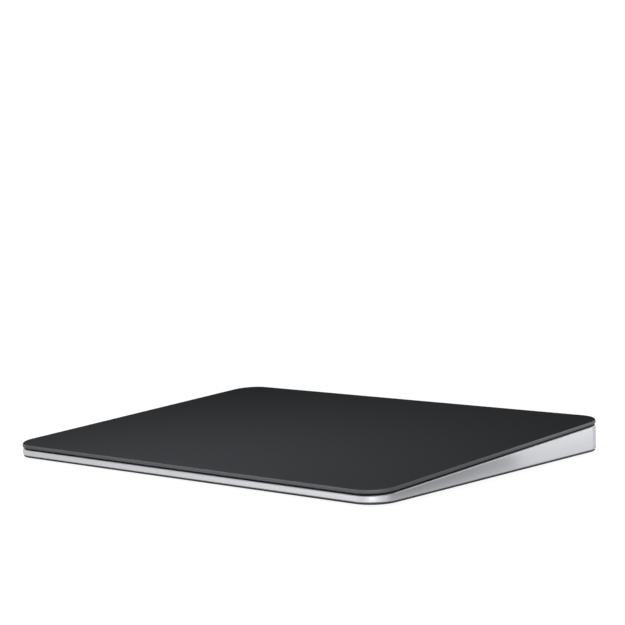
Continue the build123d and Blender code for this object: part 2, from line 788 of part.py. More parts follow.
tab_tip_places = [(sx * tab_tip_x, sy * tab_y) for sx in side_signs for sy in side_signs]
gauge_places = [(sx * gauge_x, sy * tab_y) for sx in side_signs for sy in side_signs]

with BuildPart() as tab_screws:
    add_screws(
        layer(tab_top_drop),
        tab_screw_places,
        screw_head_radius,
        tab_head_height,
        screw_shank_radius,
        tab_screw_length,
    )
tab_screws.part.label = "tab_screws"
export_step(tab_screws.part, "parts/tab_screws.step")

with BuildPart() as gel_pads:
    with BuildSketch(layer(stiffener_bottom_drop)):
        with Locations(*tab_tip_places):
            Rectangle(gel_size, gel_size)
    extrude(amount=-gel_thickness)
gel_pads.part.label = "gel_pads"
export_step(gel_pads.part, "parts/gel_pads.step")

with BuildPart() as strain_gauges:
    with BuildSketch(layer(tab_bottom_drop)):
        with Locations(*gauge_places):
            Rectangle(gauge_length, gauge_width)
    extrude(amount=-gauge_thickness)
strain_gauges.part.label = "strain_gauges"
export_step(strain_gauges.part, "parts/strain_gauges.step")

# Gauge ribbons: one on each side, lying on the base plate and rising to the two gauges there.
gauge_ribbon_ends = {
    "gauge_flex_left": (-1, gauge_ribbon_left_end_x),
    "gauge_flex_right": (1, gauge_ribbon_right_end_x),
}
for name, (side, end_x) in gauge_ribbon_ends.items():
    with BuildPart() as gauge_flex:
        with BuildSketch(layer(tab_bottom_drop + gauge_thickness)):
            with Locations(
                (side * gauge_x, -tab_y),
                (side * gauge_x, tab_y),
            ):
                Rectangle(ribbon_thickness, riser_width)
        extrude(amount=rear_height, dir=straight_down)
        split(bisect_by=Plane.XY.offset(floor_top), keep=Keep.TOP)
        with BuildSketch(Plane.XY.offset(floor_top)):
            with BuildLine():
                Polyline(
                    (side * (gauge_x + ribbon_width / 2), -tab_y),
                    (side * gauge_ribbon_x, -tab_y),
                    (side * gauge_ribbon_x, gauge_ribbon_y),
                    (end_x, gauge_ribbon_y),
                )
            trace(line_width=ribbon_width)
            with BuildLine():
                Line(
                    (side * gauge_ribbon_x, tab_y),
                    (side * (gauge_x + ribbon_width / 2), tab_y),
                )
            trace(line_width=ribbon_width)
        extrude(amount=ribbon_thickness)
    gauge_flex.part.label = name
    export_step(gauge_flex.part, f"parts/{name}.step")

# Magnet: a folded steel pan hangs between the two low ribs and holds two iron cores, whose
# poles face an iron bar under the stiffener from both sides.
pan_floor_middle = -(magnet_bottom_drop + pan_thickness / 2)
pan_flange_middle = -(pan_flange_drop + pan_thickness / 2)
with BuildPart() as haptic_bracket:
    folded_strip(
        upright_section(0),
        [
            (pan_front_y - pan_flange, pan_flange_middle),
            (pan_front_y + pan_thickness / 2, pan_flange_middle),
            (pan_front_y + pan_thickness / 2, pan_floor_middle),
            (pan_rear_y - pan_thickness / 2, pan_floor_middle),
            (pan_rear_y - pan_thickness / 2, pan_flange_middle),
            (pan_rear_y + pan_flange, pan_flange_middle),
        ],
        pan_bend,
        pan_thickness,
        pan_length,
    )
    with BuildSketch(layer(pan_flange_drop)):
        with Locations(*magnet_screw_places):
            RegularPolygon(screw_shank_radius + screw_hole_gap, screw_shank_sides)
    extrude(amount=-pan_thickness, mode=Mode.SUBTRACT)
haptic_bracket.part.label = "haptic_bracket"
export_step(haptic_bracket.part, "parts/haptic_bracket.step")

pole_x = (pole_face_x + pole_root_x) / 2
magnet_middle_drop = magnet_top_drop + core_height / 2
outer_pole_y = (core_width - outer_pole_width) / 2
with BuildPart() as haptic_cores:
    with BuildSketch(layer(magnet_top_drop)):
        for side in side_signs:
            with Locations((side * (pole_root_x + core_back / 2), magnet_y)):
                Rectangle(core_back, core_width)
            with Locations(
                (side * pole_x, magnet_y - outer_pole_y),
                (side * pole_x, magnet_y + outer_pole_y),
            ):
                Rectangle(core_pole_length, outer_pole_width)
    extrude(amount=-core_height)
    with BuildSketch(layer(magnet_middle_drop - middle_pole_height / 2)):
        with Locations((-pole_x, magnet_y), (pole_x, magnet_y)):
            Rectangle(core_pole_length, middle_pole_width)
    extrude(amount=-middle_pole_height)
haptic_cores.part.label = "haptic_cores"
export_step(haptic_cores.part, "parts/haptic_cores.step")

with BuildPart() as haptic_coils:
    for side in side_signs:
        with BuildSketch(upright_section(side * pole_x)):
            with Locations((magnet_y, -magnet_middle_drop)):
                Rectangle(coil_width, core_height)
                Rectangle(
                    middle_pole_width + 2 * coil_gap,
                    middle_pole_height + 2 * coil_gap,
                    mode=Mode.SUBTRACT,
                )
        extrude(amount=coil_length / 2, both=True)
haptic_coils.part.label = "haptic_coils"
export_step(haptic_coils.part, "parts/haptic_coils.step")

armature_height = magnet_bottom_drop - stiffener_bottom_drop - press_travel - running_gap
with BuildPart() as haptic_armature:
    with BuildSketch(layer(stiffener_bottom_drop)):
        with Locations((0, magnet_y)):
            Rectangle(armature_width, core_width)
    extrude(amount=-armature_height)
haptic_armature.part.label = "haptic_armature"
export_step(haptic_armature.part, "parts/haptic_armature.step")

with BuildPart() as haptic_screws:
    add_screws(
        layer(pan_flange_drop),
        magnet_screw_places,
        screw_head_radius,
        screw_head_height,
        screw_shank_radius,
        magnet_screw_length,
    )
haptic_screws.part.label = "haptic_screws"
export_step(haptic_screws.part, "parts/haptic_screws.step")

# Magnet ribbon: along the base plate beside the battery, and up onto the pan at the left core.
ribbon_stop_x = -(core_back_x + coil_gap)
magnet_ribbon_rear_end_y = gauge_ribbon_y + under_connector_depth / 2
with BuildPart() as haptic_flex:
    with BuildSketch(layer(magnet_bottom_drop - ribbon_thickness)):
        with Locations((magnet_ribbon_start_x, magnet_y)):
            Rectangle(ribbon_thickness, ribbon_width)
    extrude(amount=rear_height, dir=straight_down)
    split(bisect_by=Plane.XY.offset(floor_top), keep=Keep.TOP)
    with BuildSketch(layer(magnet_bottom_drop)):
        link_length = ribbon_stop_x - magnet_ribbon_start_x
        with Locations((magnet_ribbon_start_x + link_length / 2, magnet_y)):
            Rectangle(link_length, ribbon_width)
    extrude(amount=ribbon_thickness)
    with BuildSketch(Plane.XY.offset(floor_top)):
        with BuildLine():
            FilletPolyline(
                (magnet_ribbon_start_x + ribbon_thickness / 2, magnet_y),
                (magnet_ribbon_x, magnet_y),
                (magnet_ribbon_x, magnet_ribbon_rear_y),
                (magnet_ribbon_end_x, magnet_ribbon_rear_y),
                (magnet_ribbon_end_x, magnet_ribbon_rear_end_y),
                radius=ribbon_width / 2,
            )
        trace(line_width=ribbon_width)
    extrude(amount=ribbon_thickness)
haptic_flex.part.label = "haptic_flex"
export_step(haptic_flex.part, "parts/haptic_flex.step")

# Battery: a foil pouch with a sealed flange, its guard board, tabs, tape and ribbon.
with BuildPart() as battery_tape:
    with BuildSketch(Plane.XY.offset(floor_top)):
        with Locations((cell_centre_x, cell_centre_y)):
            Rectangle(cell_length - 2 * tape_inset, cell_depth - 2 * tape_inset)
    extrude(amount=tape_thickness)
battery_tape.part.label = "battery_tape"
export_step(battery_tape.part, "parts/battery_tape.step")

with BuildPart() as battery_cell:
    with BuildSketch(Plane.XY.offset(cell_bottom)):
        with Locations((cell_centre_x, cell_centre_y)):
            Rectangle(cell_length, cell_depth)
    extrude(amount=cell_height)
    chamfer(battery_cell.edges().filter_by(Axis.Z), cell_corner)
    chamfer(battery_cell.faces().sort_by(Axis.Z)[0].edges(), cell_edge_break)
    chamfer(battery_cell.faces().sort_by(Axis.Z)[-1].edges(), cell_edge_break)
    with BuildSketch(Plane.XY.offset(cell_middle_z - seal_thickness / 2)):
        with Locations((cell_right_x, cell_centre_y)):
            Rectangle(2 * seal_length, cell_depth - 2 * (cell_corner + seal_inset))
    extrude(amount=seal_thickness)
battery_cell.part.label = "battery_cell"
export_step(battery_cell.part, "parts/battery_cell.step")

with BuildPart() as battery_board:
    with BuildSketch(Plane.XY.offset(floor_top)):
        with Locations((guard_board_x, cell_centre_y)):
            Rectangle(guard_board_length, guard_board_width)
    extrude(amount=guard_board_height)
battery_board.part.label = "battery_board"
export_step(battery_board.part, "parts/battery_board.step")

strip_high_z = cell_middle_z + (seal_thickness + tab_strip_thickness) / 2
strip_low_z = guard_board_top + tab_strip_thickness / 2
strip_start_x = cell_right_x + seal_length / 3
strip_drop_x = cell_right_x + seal_length + guard_board_gap
strip_end_x = guard_board_x
with BuildPart() as battery_tabs:
    for offset_y in (-tab_strip_offset, tab_strip_offset):
        with BuildSketch(rear_view(cell_centre_y + offset_y)) as section:
            with BuildLine():
                Polyline(
                    (strip_start_x, strip_high_z),
                    (strip_drop_x, strip_high_z),
                    (strip_drop_x + guard_board_gap, strip_low_z),
                    (strip_end_x, strip_low_z),
                )
            trace(line_width=tab_strip_thickness)
        extrude(section.sketch, amount=tab_strip_width / 2, both=True)
battery_tabs.part.label = "battery_tabs"
export_step(battery_tabs.part, "parts/battery_tabs.step")

socket_top = main_top + connector_height
battery_ribbon_low_z = guard_board_top + ribbon_thickness / 2
battery_ribbon_high_z = socket_top + ribbon_thickness / 2
battery_ribbon_start_y = cell_centre_y + tab_strip_offset + tab_strip_width / 2 + ribbon_side_gap
battery_ribbon_rise_y = main_front_y - battery_ribbon_gap
with BuildPart() as battery_cable:
    folded_strip(
        side_view(battery_ribbon_x),
        [
            (battery_ribbon_start_y, battery_ribbon_low_z),
            (battery_ribbon_rise_y, battery_ribbon_low_z),
            (battery_ribbon_rise_y + battery_ribbon_step, battery_ribbon_high_z),
            (main_centre_y + battery_connector_depth / 2, battery_ribbon_high_z),
        ],
        battery_ribbon_bend,
        ribbon_thickness,
        battery_ribbon_width,
    )
battery_cable.part.label = "battery_cable"
export_step(battery_cable.part, "parts/battery_cable.step")

# Main board and what is soldered to it.
with BuildPart() as main_board:
    with BuildSketch(Plane.XY.offset(main_bottom)):
        with Locations((main_centre_x, main_centre_y)):
            Rectangle(main_right_x - main_left_x, main_board_depth)
        with Locations(*(board_screw_places + port_screw_places)):
            RegularPolygon(
                screw_shank_radius + screw_hole_gap,
                screw_shank_sides,
                mode=Mode.SUBTRACT,
            )
    extrude(amount=main_thickness)
main_board.part.label = "main_board"
export_step(main_board.part, "parts/main_board.step")

with BuildPart() as processor_chip:
    with BuildSketch(Plane.XY.offset(main_top)):
        with Locations((processor_x, main_centre_y)):
            Rectangle(processor_size, processor_size)
    extrude(amount=processor_height)
processor_chip.part.label = "processor_chip"
export_step(processor_chip.part, "parts/processor_chip.step")

with BuildPart() as radio_shield:
    with BuildSketch(Plane.XY.offset(main_top)):
        with Locations((shield_x, main_centre_y)):
            Rectangle(shield_length, shield_width)
    extrude(amount=shield_height)
    chamfer(radio_shield.faces().sort_by(Axis.Z)[-1].edges(), shield_edge_break)
radio_shield.part.label = "radio_shield"
export_step(radio_shield.part, "parts/radio_shield.step")

with BuildPart() as antenna_chip:
    with BuildSketch(Plane.XY.offset(main_top)):
        with Locations((antenna_x, main_centre_y)):
            Rectangle(antenna_width, antenna_length)
    extrude(amount=chip_height)
antenna_chip.part.label = "antenna_chip"
export_step(antenna_chip.part, "parts/antenna_chip.step")

# Small chips: memory, charging and motion chips, two coils before the outer screws, and
# capacitors in a row before the port.
with BuildPart() as board_chips:
    with BuildSketch(Plane.XY.offset(main_top)):
        with Locations((memory_x, main_centre_y)):
            Rectangle(memory_length, memory_width)
        with Locations((power_chip_x, main_centre_y)):
            with GridLocations(power_chip_size, power_chip_spacing, 1, 2):
                Rectangle(power_chip_size, power_chip_size)
        with Locations((board_screw_left_x, front_row_y), (board_screw_right_x, front_row_y)):
            Rectangle(coil_chip_length, coil_chip_width)
        with Locations((0, front_row_y)):
            with GridLocations(capacitor_pitch, capacitor_width, capacitor_count, 1):
                Rectangle(capacitor_length, capacitor_width)
    extrude(amount=chip_height)
board_chips.part.label = "board_chips"
export_step(board_chips.part, "parts/board_chips.step")

# Sockets: two on top of the board for the touch and battery ribbons, three underneath.
with BuildPart() as board_connectors:
    with BuildSketch(Plane.XY.offset(main_top)):
        with Locations((touch_ribbon_x, touch_connector_y)):
            Rectangle(touch_connector_width, touch_connector_depth)
        with Locations((battery_ribbon_x, main_centre_y)):
            Rectangle(battery_connector_width, battery_connector_depth)
    extrude(amount=connector_height)
    with BuildSketch(Plane.XY.offset(main_bottom)):
        with Locations(
            (under_left_x, gauge_ribbon_y),
            (magnet_ribbon_end_x, gauge_ribbon_y),
            (under_right_x, gauge_ribbon_y),
        ):
            Rectangle(under_connector_width, under_connector_depth)
    extrude(amount=-under_connector_height)
board_connectors.part.label = "board_connectors"
export_step(board_connectors.part, "parts/board_connectors.step")

with BuildPart() as board_screws:
    add_screws(
        Plane.XY.offset(main_top),
        board_screw_places,
        screw_head_radius,
        screw_head_height,
        screw_shank_radius,
        board_screw_length,
    )
board_screws.part.label = "board_screws"
export_step(board_screws.part, "parts/board_screws.step")

# Touch ribbon: from the socket under the glass down to the main board, with one soft step.
touch_ribbon_drop = board_bottom_drop + connector_height + ribbon_thickness / 2
touch_ribbon_start_y = sensor_connector_y - touch_connector_depth / 2
touch_ribbon_drop_y = main_front_y - touch_ribbon_gap
touch_ribbon_low_y = touch_ribbon_drop_y + touch_ribbon_step
with BuildPart() as touch_flex:
    folded_strip(
        side_view(touch_ribbon_x),
        [
            (touch_ribbon_start_y, height_under(touch_ribbon_drop, touch_ribbon_start_y)),
            (touch_ribbon_drop_y, height_under(touch_ribbon_drop, touch_ribbon_drop_y)),
            (touch_ribbon_low_y, socket_top + ribbon_thickness / 2),
            (touch_connector_y + touch_connector_depth / 2, socket_top + ribbon_thickness / 2),
        ],
        touch_ribbon_bend,
        ribbon_thickness,
        touch_ribbon_width,
    )
touch_flex.part.label = "touch_flex"
export_step(touch_flex.part, "parts/touch_flex.step")

# Charging port: an oval metal shell, closed behind, with a tongue and two rows of contacts.
with BuildPart() as port_shell:
    with BuildSketch(rear_view(port_mouth_y)):
        with Locations((0, port_z)):
            SlotOverall(port_width, port_height)
            SlotOverall(port_width - 2 * port_wall, port_height - 2 * port_wall, mode=Mode.SUBTRACT)
    extrude(amount=port_length)
    with BuildSketch(rear_view(port_back_y + port_back)):
        with Locations((0, port_z)):
            SlotOverall(port_width, port_height)
    extrude(amount=port_back)
port_shell.part.label = "port_shell"
export_step(port_shell.part, "parts/port_shell.step")

tongue_front_y = port_mouth_y - tongue_short
tongue_width = port_width - 2 * tongue_side_room
with BuildPart() as port_tongue:
    with BuildSketch(rear_view(tongue_front_y)):
        with Locations((0, port_z)):
            Rectangle(tongue_width, tongue_thickness)
    extrude(amount=tongue_front_y - port_back_y - port_back)
port_tongue.part.label = "port_tongue"
export_step(port_tongue.part, "parts/port_tongue.step")

contact_drop_z = (tongue_thickness + contact_thickness) / 2
with BuildPart() as port_contacts:
    with BuildSketch(rear_view(tongue_front_y - port_wall)):
        for row in side_signs:
            with Locations((0, port_z + row * contact_drop_z)):
                with GridLocations(contact_pitch, contact_thickness, contact_count, 1):
                    Rectangle(contact_width, contact_thickness)
    extrude(amount=contact_length)
port_contacts.part.label = "port_contacts"
export_step(port_contacts.part, "parts/port_contacts.step")

# Port clip: a folded strap over the shell, screwed down through the board on both sides.
clip_low_z = main_top + clip_thickness / 2
clip_high_z = main_top + port_height + clip_gap + clip_thickness / 2
with BuildPart() as port_bracket:
    folded_strip(
        rear_view(board_screw_y),
        [
            (-clip_reach, clip_low_z),
            (-clip_side_x, clip_low_z),
            (-clip_side_x, clip_high_z),
            (clip_side_x, clip_high_z),
            (clip_side_x, clip_low_z),
            (clip_reach, clip_low_z),
        ],
        clip_bend,
        clip_thickness,
        clip_width,
    )
    with BuildSketch(Plane.XY.offset(main_top)):
        with Locations(*port_screw_places):
            RegularPolygon(screw_shank_radius + screw_hole_gap, screw_shank_sides)
    extrude(amount=clip_thickness, mode=Mode.SUBTRACT)
port_bracket.part.label = "port_bracket"
export_step(port_bracket.part, "parts/port_bracket.step")

with BuildPart() as port_screws:
    add_screws(
        Plane.XY.offset(main_top + clip_thickness),
        port_screw_places,
        screw_head_radius,
        screw_head_height,
        screw_shank_radius,
        board_screw_length + clip_thickness,
    )
port_screws.part.label = "port_screws"
export_step(port_screws.part, "parts/port_screws.step")

# Power switch: a body on the shelf, with a channel that the slider's stem runs in.
with BuildPart() as switch_body:
    with BuildSketch(Plane.XY.offset(shelf_top)):
        with Locations((switch_x, switch_body_y)):
            Rectangle(switch_body_length, switch_body_depth)
    extrude(amount=2 * (switch_z - shelf_top))
    chamfer(switch_body.edges().filter_by(Axis.Z), switch_corner)
    with BuildSketch(Plane.XY.offset(shelf_top)):
        with Locations((switch_x, switch_body_y)):
            Rectangle(switch_body_length + 2 * ear_length, switch_body_depth)
        with Locations(*switch_screw_places):
            RegularPolygon(
                switch_screw_shank_radius + screw_hole_gap,
                screw_shank_sides,
                mode=Mode.SUBTRACT,
            )
    extrude(amount=ear_thickness)
    with BuildSketch(rear_view(switch_body_front_y)):
        with Locations((switch_x, switch_z)):
            Rectangle(stem_width + switch_travel + 2 * running_gap, stem_height + 2 * running_gap)
    extrude(amount=stem_length - switch_body_gap + running_gap, mode=Mode.SUBTRACT)
switch_body.part.label = "switch_body"
export_step(switch_body.part, "parts/switch_body.step")

with BuildPart() as switch_screws:
    add_screws(
        Plane.XY.offset(shelf_top + ear_thickness),
        switch_screw_places,
        switch_screw_head_radius,
        switch_screw_head_height,
        switch_screw_shank_radius,
        switch_screw_length,
    )
switch_screws.part.label = "switch_screws"
export_step(switch_screws.part, "parts/switch_screws.step")

# Slider: a knob in the slot, a carrier plate behind the wall and a stem, moulded in one.
knob_front_y = depth / 2 - knob_recess
with BuildPart() as switch_slider:
    with BuildSketch(rear_view(knob_front_y)):
        with Locations((switch_rest_x, switch_z)):
            SlotOverall(knob_width, knob_height)
    extrude(amount=knob_front_y - carrier_front_y)
    chamfer(switch_slider.faces().sort_by(Axis.Y)[-1].edges(), knob_edge_break)
    with BuildSketch(rear_view(carrier_front_y)):
        with Locations((switch_rest_x, switch_z)):
            Rectangle(knob_width + 2 * carrier_side, carrier_height)
    extrude(amount=carrier_thickness)
    with BuildSketch(rear_view(carrier_rear_y)):
        with Locations((switch_rest_x, switch_z)):
            Rectangle(stem_width, stem_height)
    extrude(amount=stem_length)
    with BuildSketch(rear_view(knob_front_y)):
        with Locations((switch_rest_x, switch_z)):
            with GridLocations(grip_pitch, knob_height, grip_count, 1):
                Rectangle(grip_width, knob_height)
    extrude(amount=grip_depth, mode=Mode.SUBTRACT)
switch_slider.part.label = "switch_slider"
export_step(switch_slider.part, "parts/switch_slider.step")

# Green mark: a film on the carrier, seen beside the knob when the switch is on.
mark_x = switch_rest_x - (knob_width + carrier_side) / 2
with BuildPart() as switch_on_mark:
    with BuildSketch(rear_view(carrier_front_y + mark_thickness)):
        with Locations((mark_x, switch_z)):
            Rectangle(carrier_side - 2 * mark_margin, carrier_height - 2 * mark_margin)
    extrude(amount=mark_thickness)
switch_on_mark.part.label = "switch_on_mark"
export_step(switch_on_mark.part, "parts/switch_on_mark.step")
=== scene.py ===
# %% [markdown]
# A trackpad with a black glass top
#
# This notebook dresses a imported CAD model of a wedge-shaped trackpad. The CAD gives every size
# and place, in metres: the origin is the middle of the footprint at table level, +X is to the
# right of the person using it, +Y is away from them, and +Z is up. Blender adds what CAD leaves
# out: materials, small soft edges, windings, and light.

# %% Import the tools and load the frame
import json
import math

import bmesh
import bpy
from mathutils import Matrix, Vector


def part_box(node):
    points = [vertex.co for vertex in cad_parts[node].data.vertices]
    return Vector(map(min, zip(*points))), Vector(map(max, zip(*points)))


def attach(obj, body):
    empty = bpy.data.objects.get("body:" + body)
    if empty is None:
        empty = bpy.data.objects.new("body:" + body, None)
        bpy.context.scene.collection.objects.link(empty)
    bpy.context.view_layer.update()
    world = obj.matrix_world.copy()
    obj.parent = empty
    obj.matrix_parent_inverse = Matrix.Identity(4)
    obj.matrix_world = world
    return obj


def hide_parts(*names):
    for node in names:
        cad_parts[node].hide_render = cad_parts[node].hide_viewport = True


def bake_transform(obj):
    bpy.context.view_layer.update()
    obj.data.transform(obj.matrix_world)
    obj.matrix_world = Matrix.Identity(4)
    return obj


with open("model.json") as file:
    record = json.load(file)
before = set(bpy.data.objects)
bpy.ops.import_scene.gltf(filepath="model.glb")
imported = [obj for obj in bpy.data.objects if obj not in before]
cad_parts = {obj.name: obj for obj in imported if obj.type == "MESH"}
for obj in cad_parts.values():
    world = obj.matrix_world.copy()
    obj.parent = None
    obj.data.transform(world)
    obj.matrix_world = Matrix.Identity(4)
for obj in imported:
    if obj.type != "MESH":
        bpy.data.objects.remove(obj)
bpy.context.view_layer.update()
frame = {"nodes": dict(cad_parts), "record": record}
nodes = frame["nodes"]

# %% [markdown]
# Lengths on such a small product are easiest to read in millimetres. MM turns them into metres.
# The footprint is the box of the glass. Its two heights are those of the upper face before the
# edge is ground round, and their difference over the depth is the slope of the glass.

# %% Measure the wedge
MM = 0.001
CORNER_RADIUS = 8.5 * MM
GLASS_THICKNESS = 1.25 * MM
FRONT_HEIGHT = 4.9 * MM
REAR_HEIGHT = 10.9 * MM

glass_low, glass_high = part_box("glass_surface")
WIDTH = glass_high.x - glass_low.x
DEPTH = glass_high.y - glass_low.y
TILT = math.atan2(REAR_HEIGHT - FRONT_HEIGHT, DEPTH)
UP_FROM_GLASS = Vector((0, -math.sin(TILT), math.cos(TILT)))
TOP_MIDDLE = Vector((0, 0, (FRONT_HEIGHT + REAR_HEIGHT) / 2))
print(f"footprint {WIDTH / MM:.1f} x {DEPTH / MM:.1f} mm, glass slopes {math.degrees(TILT):.2f} degrees")

# %% [markdown]
# The camera stands at the front right corner, 61 cm away and only five degrees above the table,
# with a long lens, so that the far edge of the glass hardly looks narrower than the near one.
# It leans a little to one side.

# %% Place the camera
CAMERA_TARGET = Vector((-3.74, 10.49, 45.75)) * MM
CAMERA_DISTANCE = 607.45 * MM
CAMERA_AZIMUTH = math.radians(42.266)
CAMERA_ELEVATION = math.radians(5.150)
CAMERA_ROLL = math.radians(-1.812)
CAMERA_LENS = 105.116
CAMERA_SENSOR = 36
CAMERA_NEAR = 10 * MM

turn = (
    Matrix.Rotation(CAMERA_AZIMUTH, 4, "Z")
    @ Matrix.Rotation(math.pi / 2 - CAMERA_ELEVATION, 4, "X")
    @ Matrix.Rotation(CAMERA_ROLL, 4, "Z")
)
camera_data = bpy.data.cameras.new("camera")
camera_data.lens = CAMERA_LENS
camera_data.sensor_width = CAMERA_SENSOR
camera_data.clip_start = CAMERA_NEAR
camera = bpy.data.objects.new("camera", camera_data)
bpy.context.scene.collection.objects.link(camera)
camera.matrix_world = Matrix.Translation(CAMERA_TARGET) @ turn @ Matrix.Translation((0, 0, CAMERA_DISTANCE))
bpy.context.scene.camera = camera
bpy.context.scene.view_settings.view_transform = "Standard"
print("camera at", [round(value / MM) for value in camera.matrix_world.translation], "mm")

# %% [markdown]
# Materials are node trees. One small function adds a node, gives values to its inputs or links
# them to another node's output, and returns it. Colours are written as hex, the way a designer
# picks them on a screen, and turned to the linear values that the shader works with.

# %% Helpers for nodes and colours
def linear(hex_colour):
    """A screen colour such as #c8c9cb as linear red, green, blue and alpha."""
    values = [int(hex_colour[n:n + 2], 16) / 255 for n in (1, 3, 5)]
    return tuple(v / 12.92 if v <= 0.04045 else ((v + 0.055) / 1.055) ** 2.4 for v in values) + (1,)


def add_node(tree, kind, inputs=None, **settings):
    """Adds a shader node. An input takes a value, or the output socket that feeds it."""
    node = tree.nodes.new("ShaderNode" + kind)
    for name, value in settings.items():
        setattr(node, name, value)
    for name, value in (inputs or {}).items():
        if isinstance(value, bpy.types.NodeSocket):
            tree.links.new(value, node.inputs[name])
        else:
            node.inputs[name].default_value = value
    return node


def empty_material(name):
    """A material with an output and nothing else, and its node tree."""
    material = bpy.data.materials.new(name)
    material.use_nodes = True
    material.node_tree.nodes.clear()
    output = add_node(material.node_tree, "OutputMaterial")
    return material, material.node_tree, output


# %% [markdown]
# The object stands on a white table in a white studio. What the camera sees of the table and of
# the room is plain white, and so is what metal and glass mirror. The light that the room throws
# on the object is a separate, lower level, so that colours come out as they are written. The
# Light Path node tells these rays apart, and one small tree serves the room and the table.

# %% Helper for what each ray sees
def seen_rays(tree, camera_level, mirrored_level):
    """A factor with one level for what the camera sees, and one for what metal and glass see."""
    rays = add_node(tree, "LightPath")
    mirrored = add_node(
        tree, "Math",
        {0: rays.outputs["Is Glossy Ray"], 1: rays.outputs["Is Transmission Ray"]}, operation="MAXIMUM",
    )
    mirrored = add_node(tree, "Math", {0: mirrored.outputs[0], 1: mirrored_level}, operation="MULTIPLY")
    direct = add_node(tree, "Math", {0: rays.outputs["Is Camera Ray"], 1: camera_level}, operation="MULTIPLY")
    return add_node(tree, "Math", {0: direct.outputs[0], 1: mirrored.outputs[0]}, operation="MAXIMUM")


# %% [markdown]
# The room is the background of the world: full white where it is seen or mirrored, and a faint
# even light for every other ray.

# %% Light the room
ROOM_SEEN = 1.0
ROOM_LIGHT = 0.06

world = bpy.data.worlds.new("studio")
world.use_nodes = True
bpy.context.scene.world = world
tree = world.node_tree
tree.nodes.clear()
seen = seen_rays(tree, ROOM_SEEN, ROOM_SEEN)
level = add_node(tree, "Math", {0: seen.outputs[0], 1: ROOM_LIGHT}, operation="MAXIMUM")
room = add_node(tree, "Background", {"Color": (1, 1, 1, 1), "Strength": level.outputs[0]})
add_node(tree, "OutputWorld", {"Surface": room.outputs[0]})
print("room light", ROOM_LIGHT)

# %% [markdown]
# The table is a grey paint with a glow added for the rays that are seen, so that it keeps only a
# faint shadow under the object, as a studio table lit from below does. The glow rises to full
# white away from the object, which hides where the table ends. The table is clear from below, so
# that a camera placed there sees the underside, and it lies a hair under the feet.

# %% Paint the table
TABLE_PAINT = "#8e8e8e"
TABLE_GLOW = 0.9
TABLE_GLOW_MIRRORED = 0.6
TABLE_NEAR = 0.15
TABLE_FAR = 0.6

table_material, tree, output = empty_material("white_table")
place = add_node(tree, "TexCoord")
distance = add_node(tree, "VectorMath", {0: place.outputs["Object"]}, operation="LENGTH")
glow = add_node(
    tree, "MapRange",
    {"Value": distance.outputs["Value"], "From Min": TABLE_NEAR, "From Max": TABLE_FAR, "To Min": TABLE_GLOW},
)
seen = seen_rays(tree, glow.outputs[0], TABLE_GLOW_MIRRORED)
paint = add_node(tree, "BsdfDiffuse", {"Color": linear(TABLE_PAINT)})
light = add_node(tree, "Emission", {"Strength": seen.outputs[0]})
both = add_node(tree, "AddShader", {0: paint.outputs[0], 1: light.outputs[0]})
side = add_node(tree, "NewGeometry")
clear = add_node(tree, "BsdfTransparent")
one_sided = add_node(
    tree, "MixShader", {0: side.outputs["Backfacing"], 1: both.outputs[0], 2: clear.outputs[0]}
)
tree.links.new(one_sided.outputs[0], output.inputs["Surface"])
print("table glows from", TABLE_GLOW, "to 1 between", TABLE_NEAR, "and", TABLE_FAR, "m")

# %% [markdown]
# The table and the cards of the studio are flat sheets.

# %% Set up the table
TABLE_SIZE = 4.0
TABLE_DROP = 0.01 * MM


def add_sheet(name, material, place):
    """A flat square, one metre wide before its place stretches and turns it, kept off the object."""
    shape = bmesh.new()
    bmesh.ops.create_grid(shape, x_segments=1, y_segments=1, size=0.5, matrix=place)
    mesh = bpy.data.meshes.new(name)
    shape.to_mesh(mesh)
    shape.free()
    mesh.materials.append(material)
    sheet = bpy.data.objects.new(name, mesh)
    bpy.context.scene.collection.objects.link(sheet)
    return sheet


table_place = Matrix.Translation((0, 0, -TABLE_DROP)) @ Matrix.Diagonal((TABLE_SIZE, TABLE_SIZE, 1, 1))
add_sheet("table", table_material, table_place)
print("table", TABLE_SIZE, "m wide")

# %% [markdown]
# A small key lamp hangs low over the front edge, so that the matt glass is lightest there and
# falls off to the rear. The side lamp brings out the edge of the glass, and the wall lamp, low
# behind, lights the switch and the port without reaching the sloping glass. Metal doesn't mirror
# these three, and shows the white room instead. The corner lamp at the front right gives the
# near corner its gleam, a small one in front, which only metal and gloss show, brightens the
# metal beside it, one at the rear right lights the rear end of the right side, and a fill lamp
# hangs behind.

# %% Hang the lamps
def add_lamp(name, place, aim, size, watts, mirrored, on_paint):
    """A square soft lamp at a place, turned towards a point, that metal or paint may leave out."""
    lamp_data = bpy.data.lights.new(name, "AREA")
    lamp_data.shape = "SQUARE"
    lamp_data.size = size
    lamp_data.energy = watts
    lamp = bpy.data.objects.new(name, lamp_data)
    bpy.context.scene.collection.objects.link(lamp)
    look = Vector(aim) - Vector(place)
    lamp.matrix_world = Matrix.Translation(place) @ look.to_track_quat("-Z", "Y").to_matrix().to_4x4()
    lamp.visible_camera = False
    lamp.visible_glossy = mirrored
    lamp.visible_diffuse = on_paint


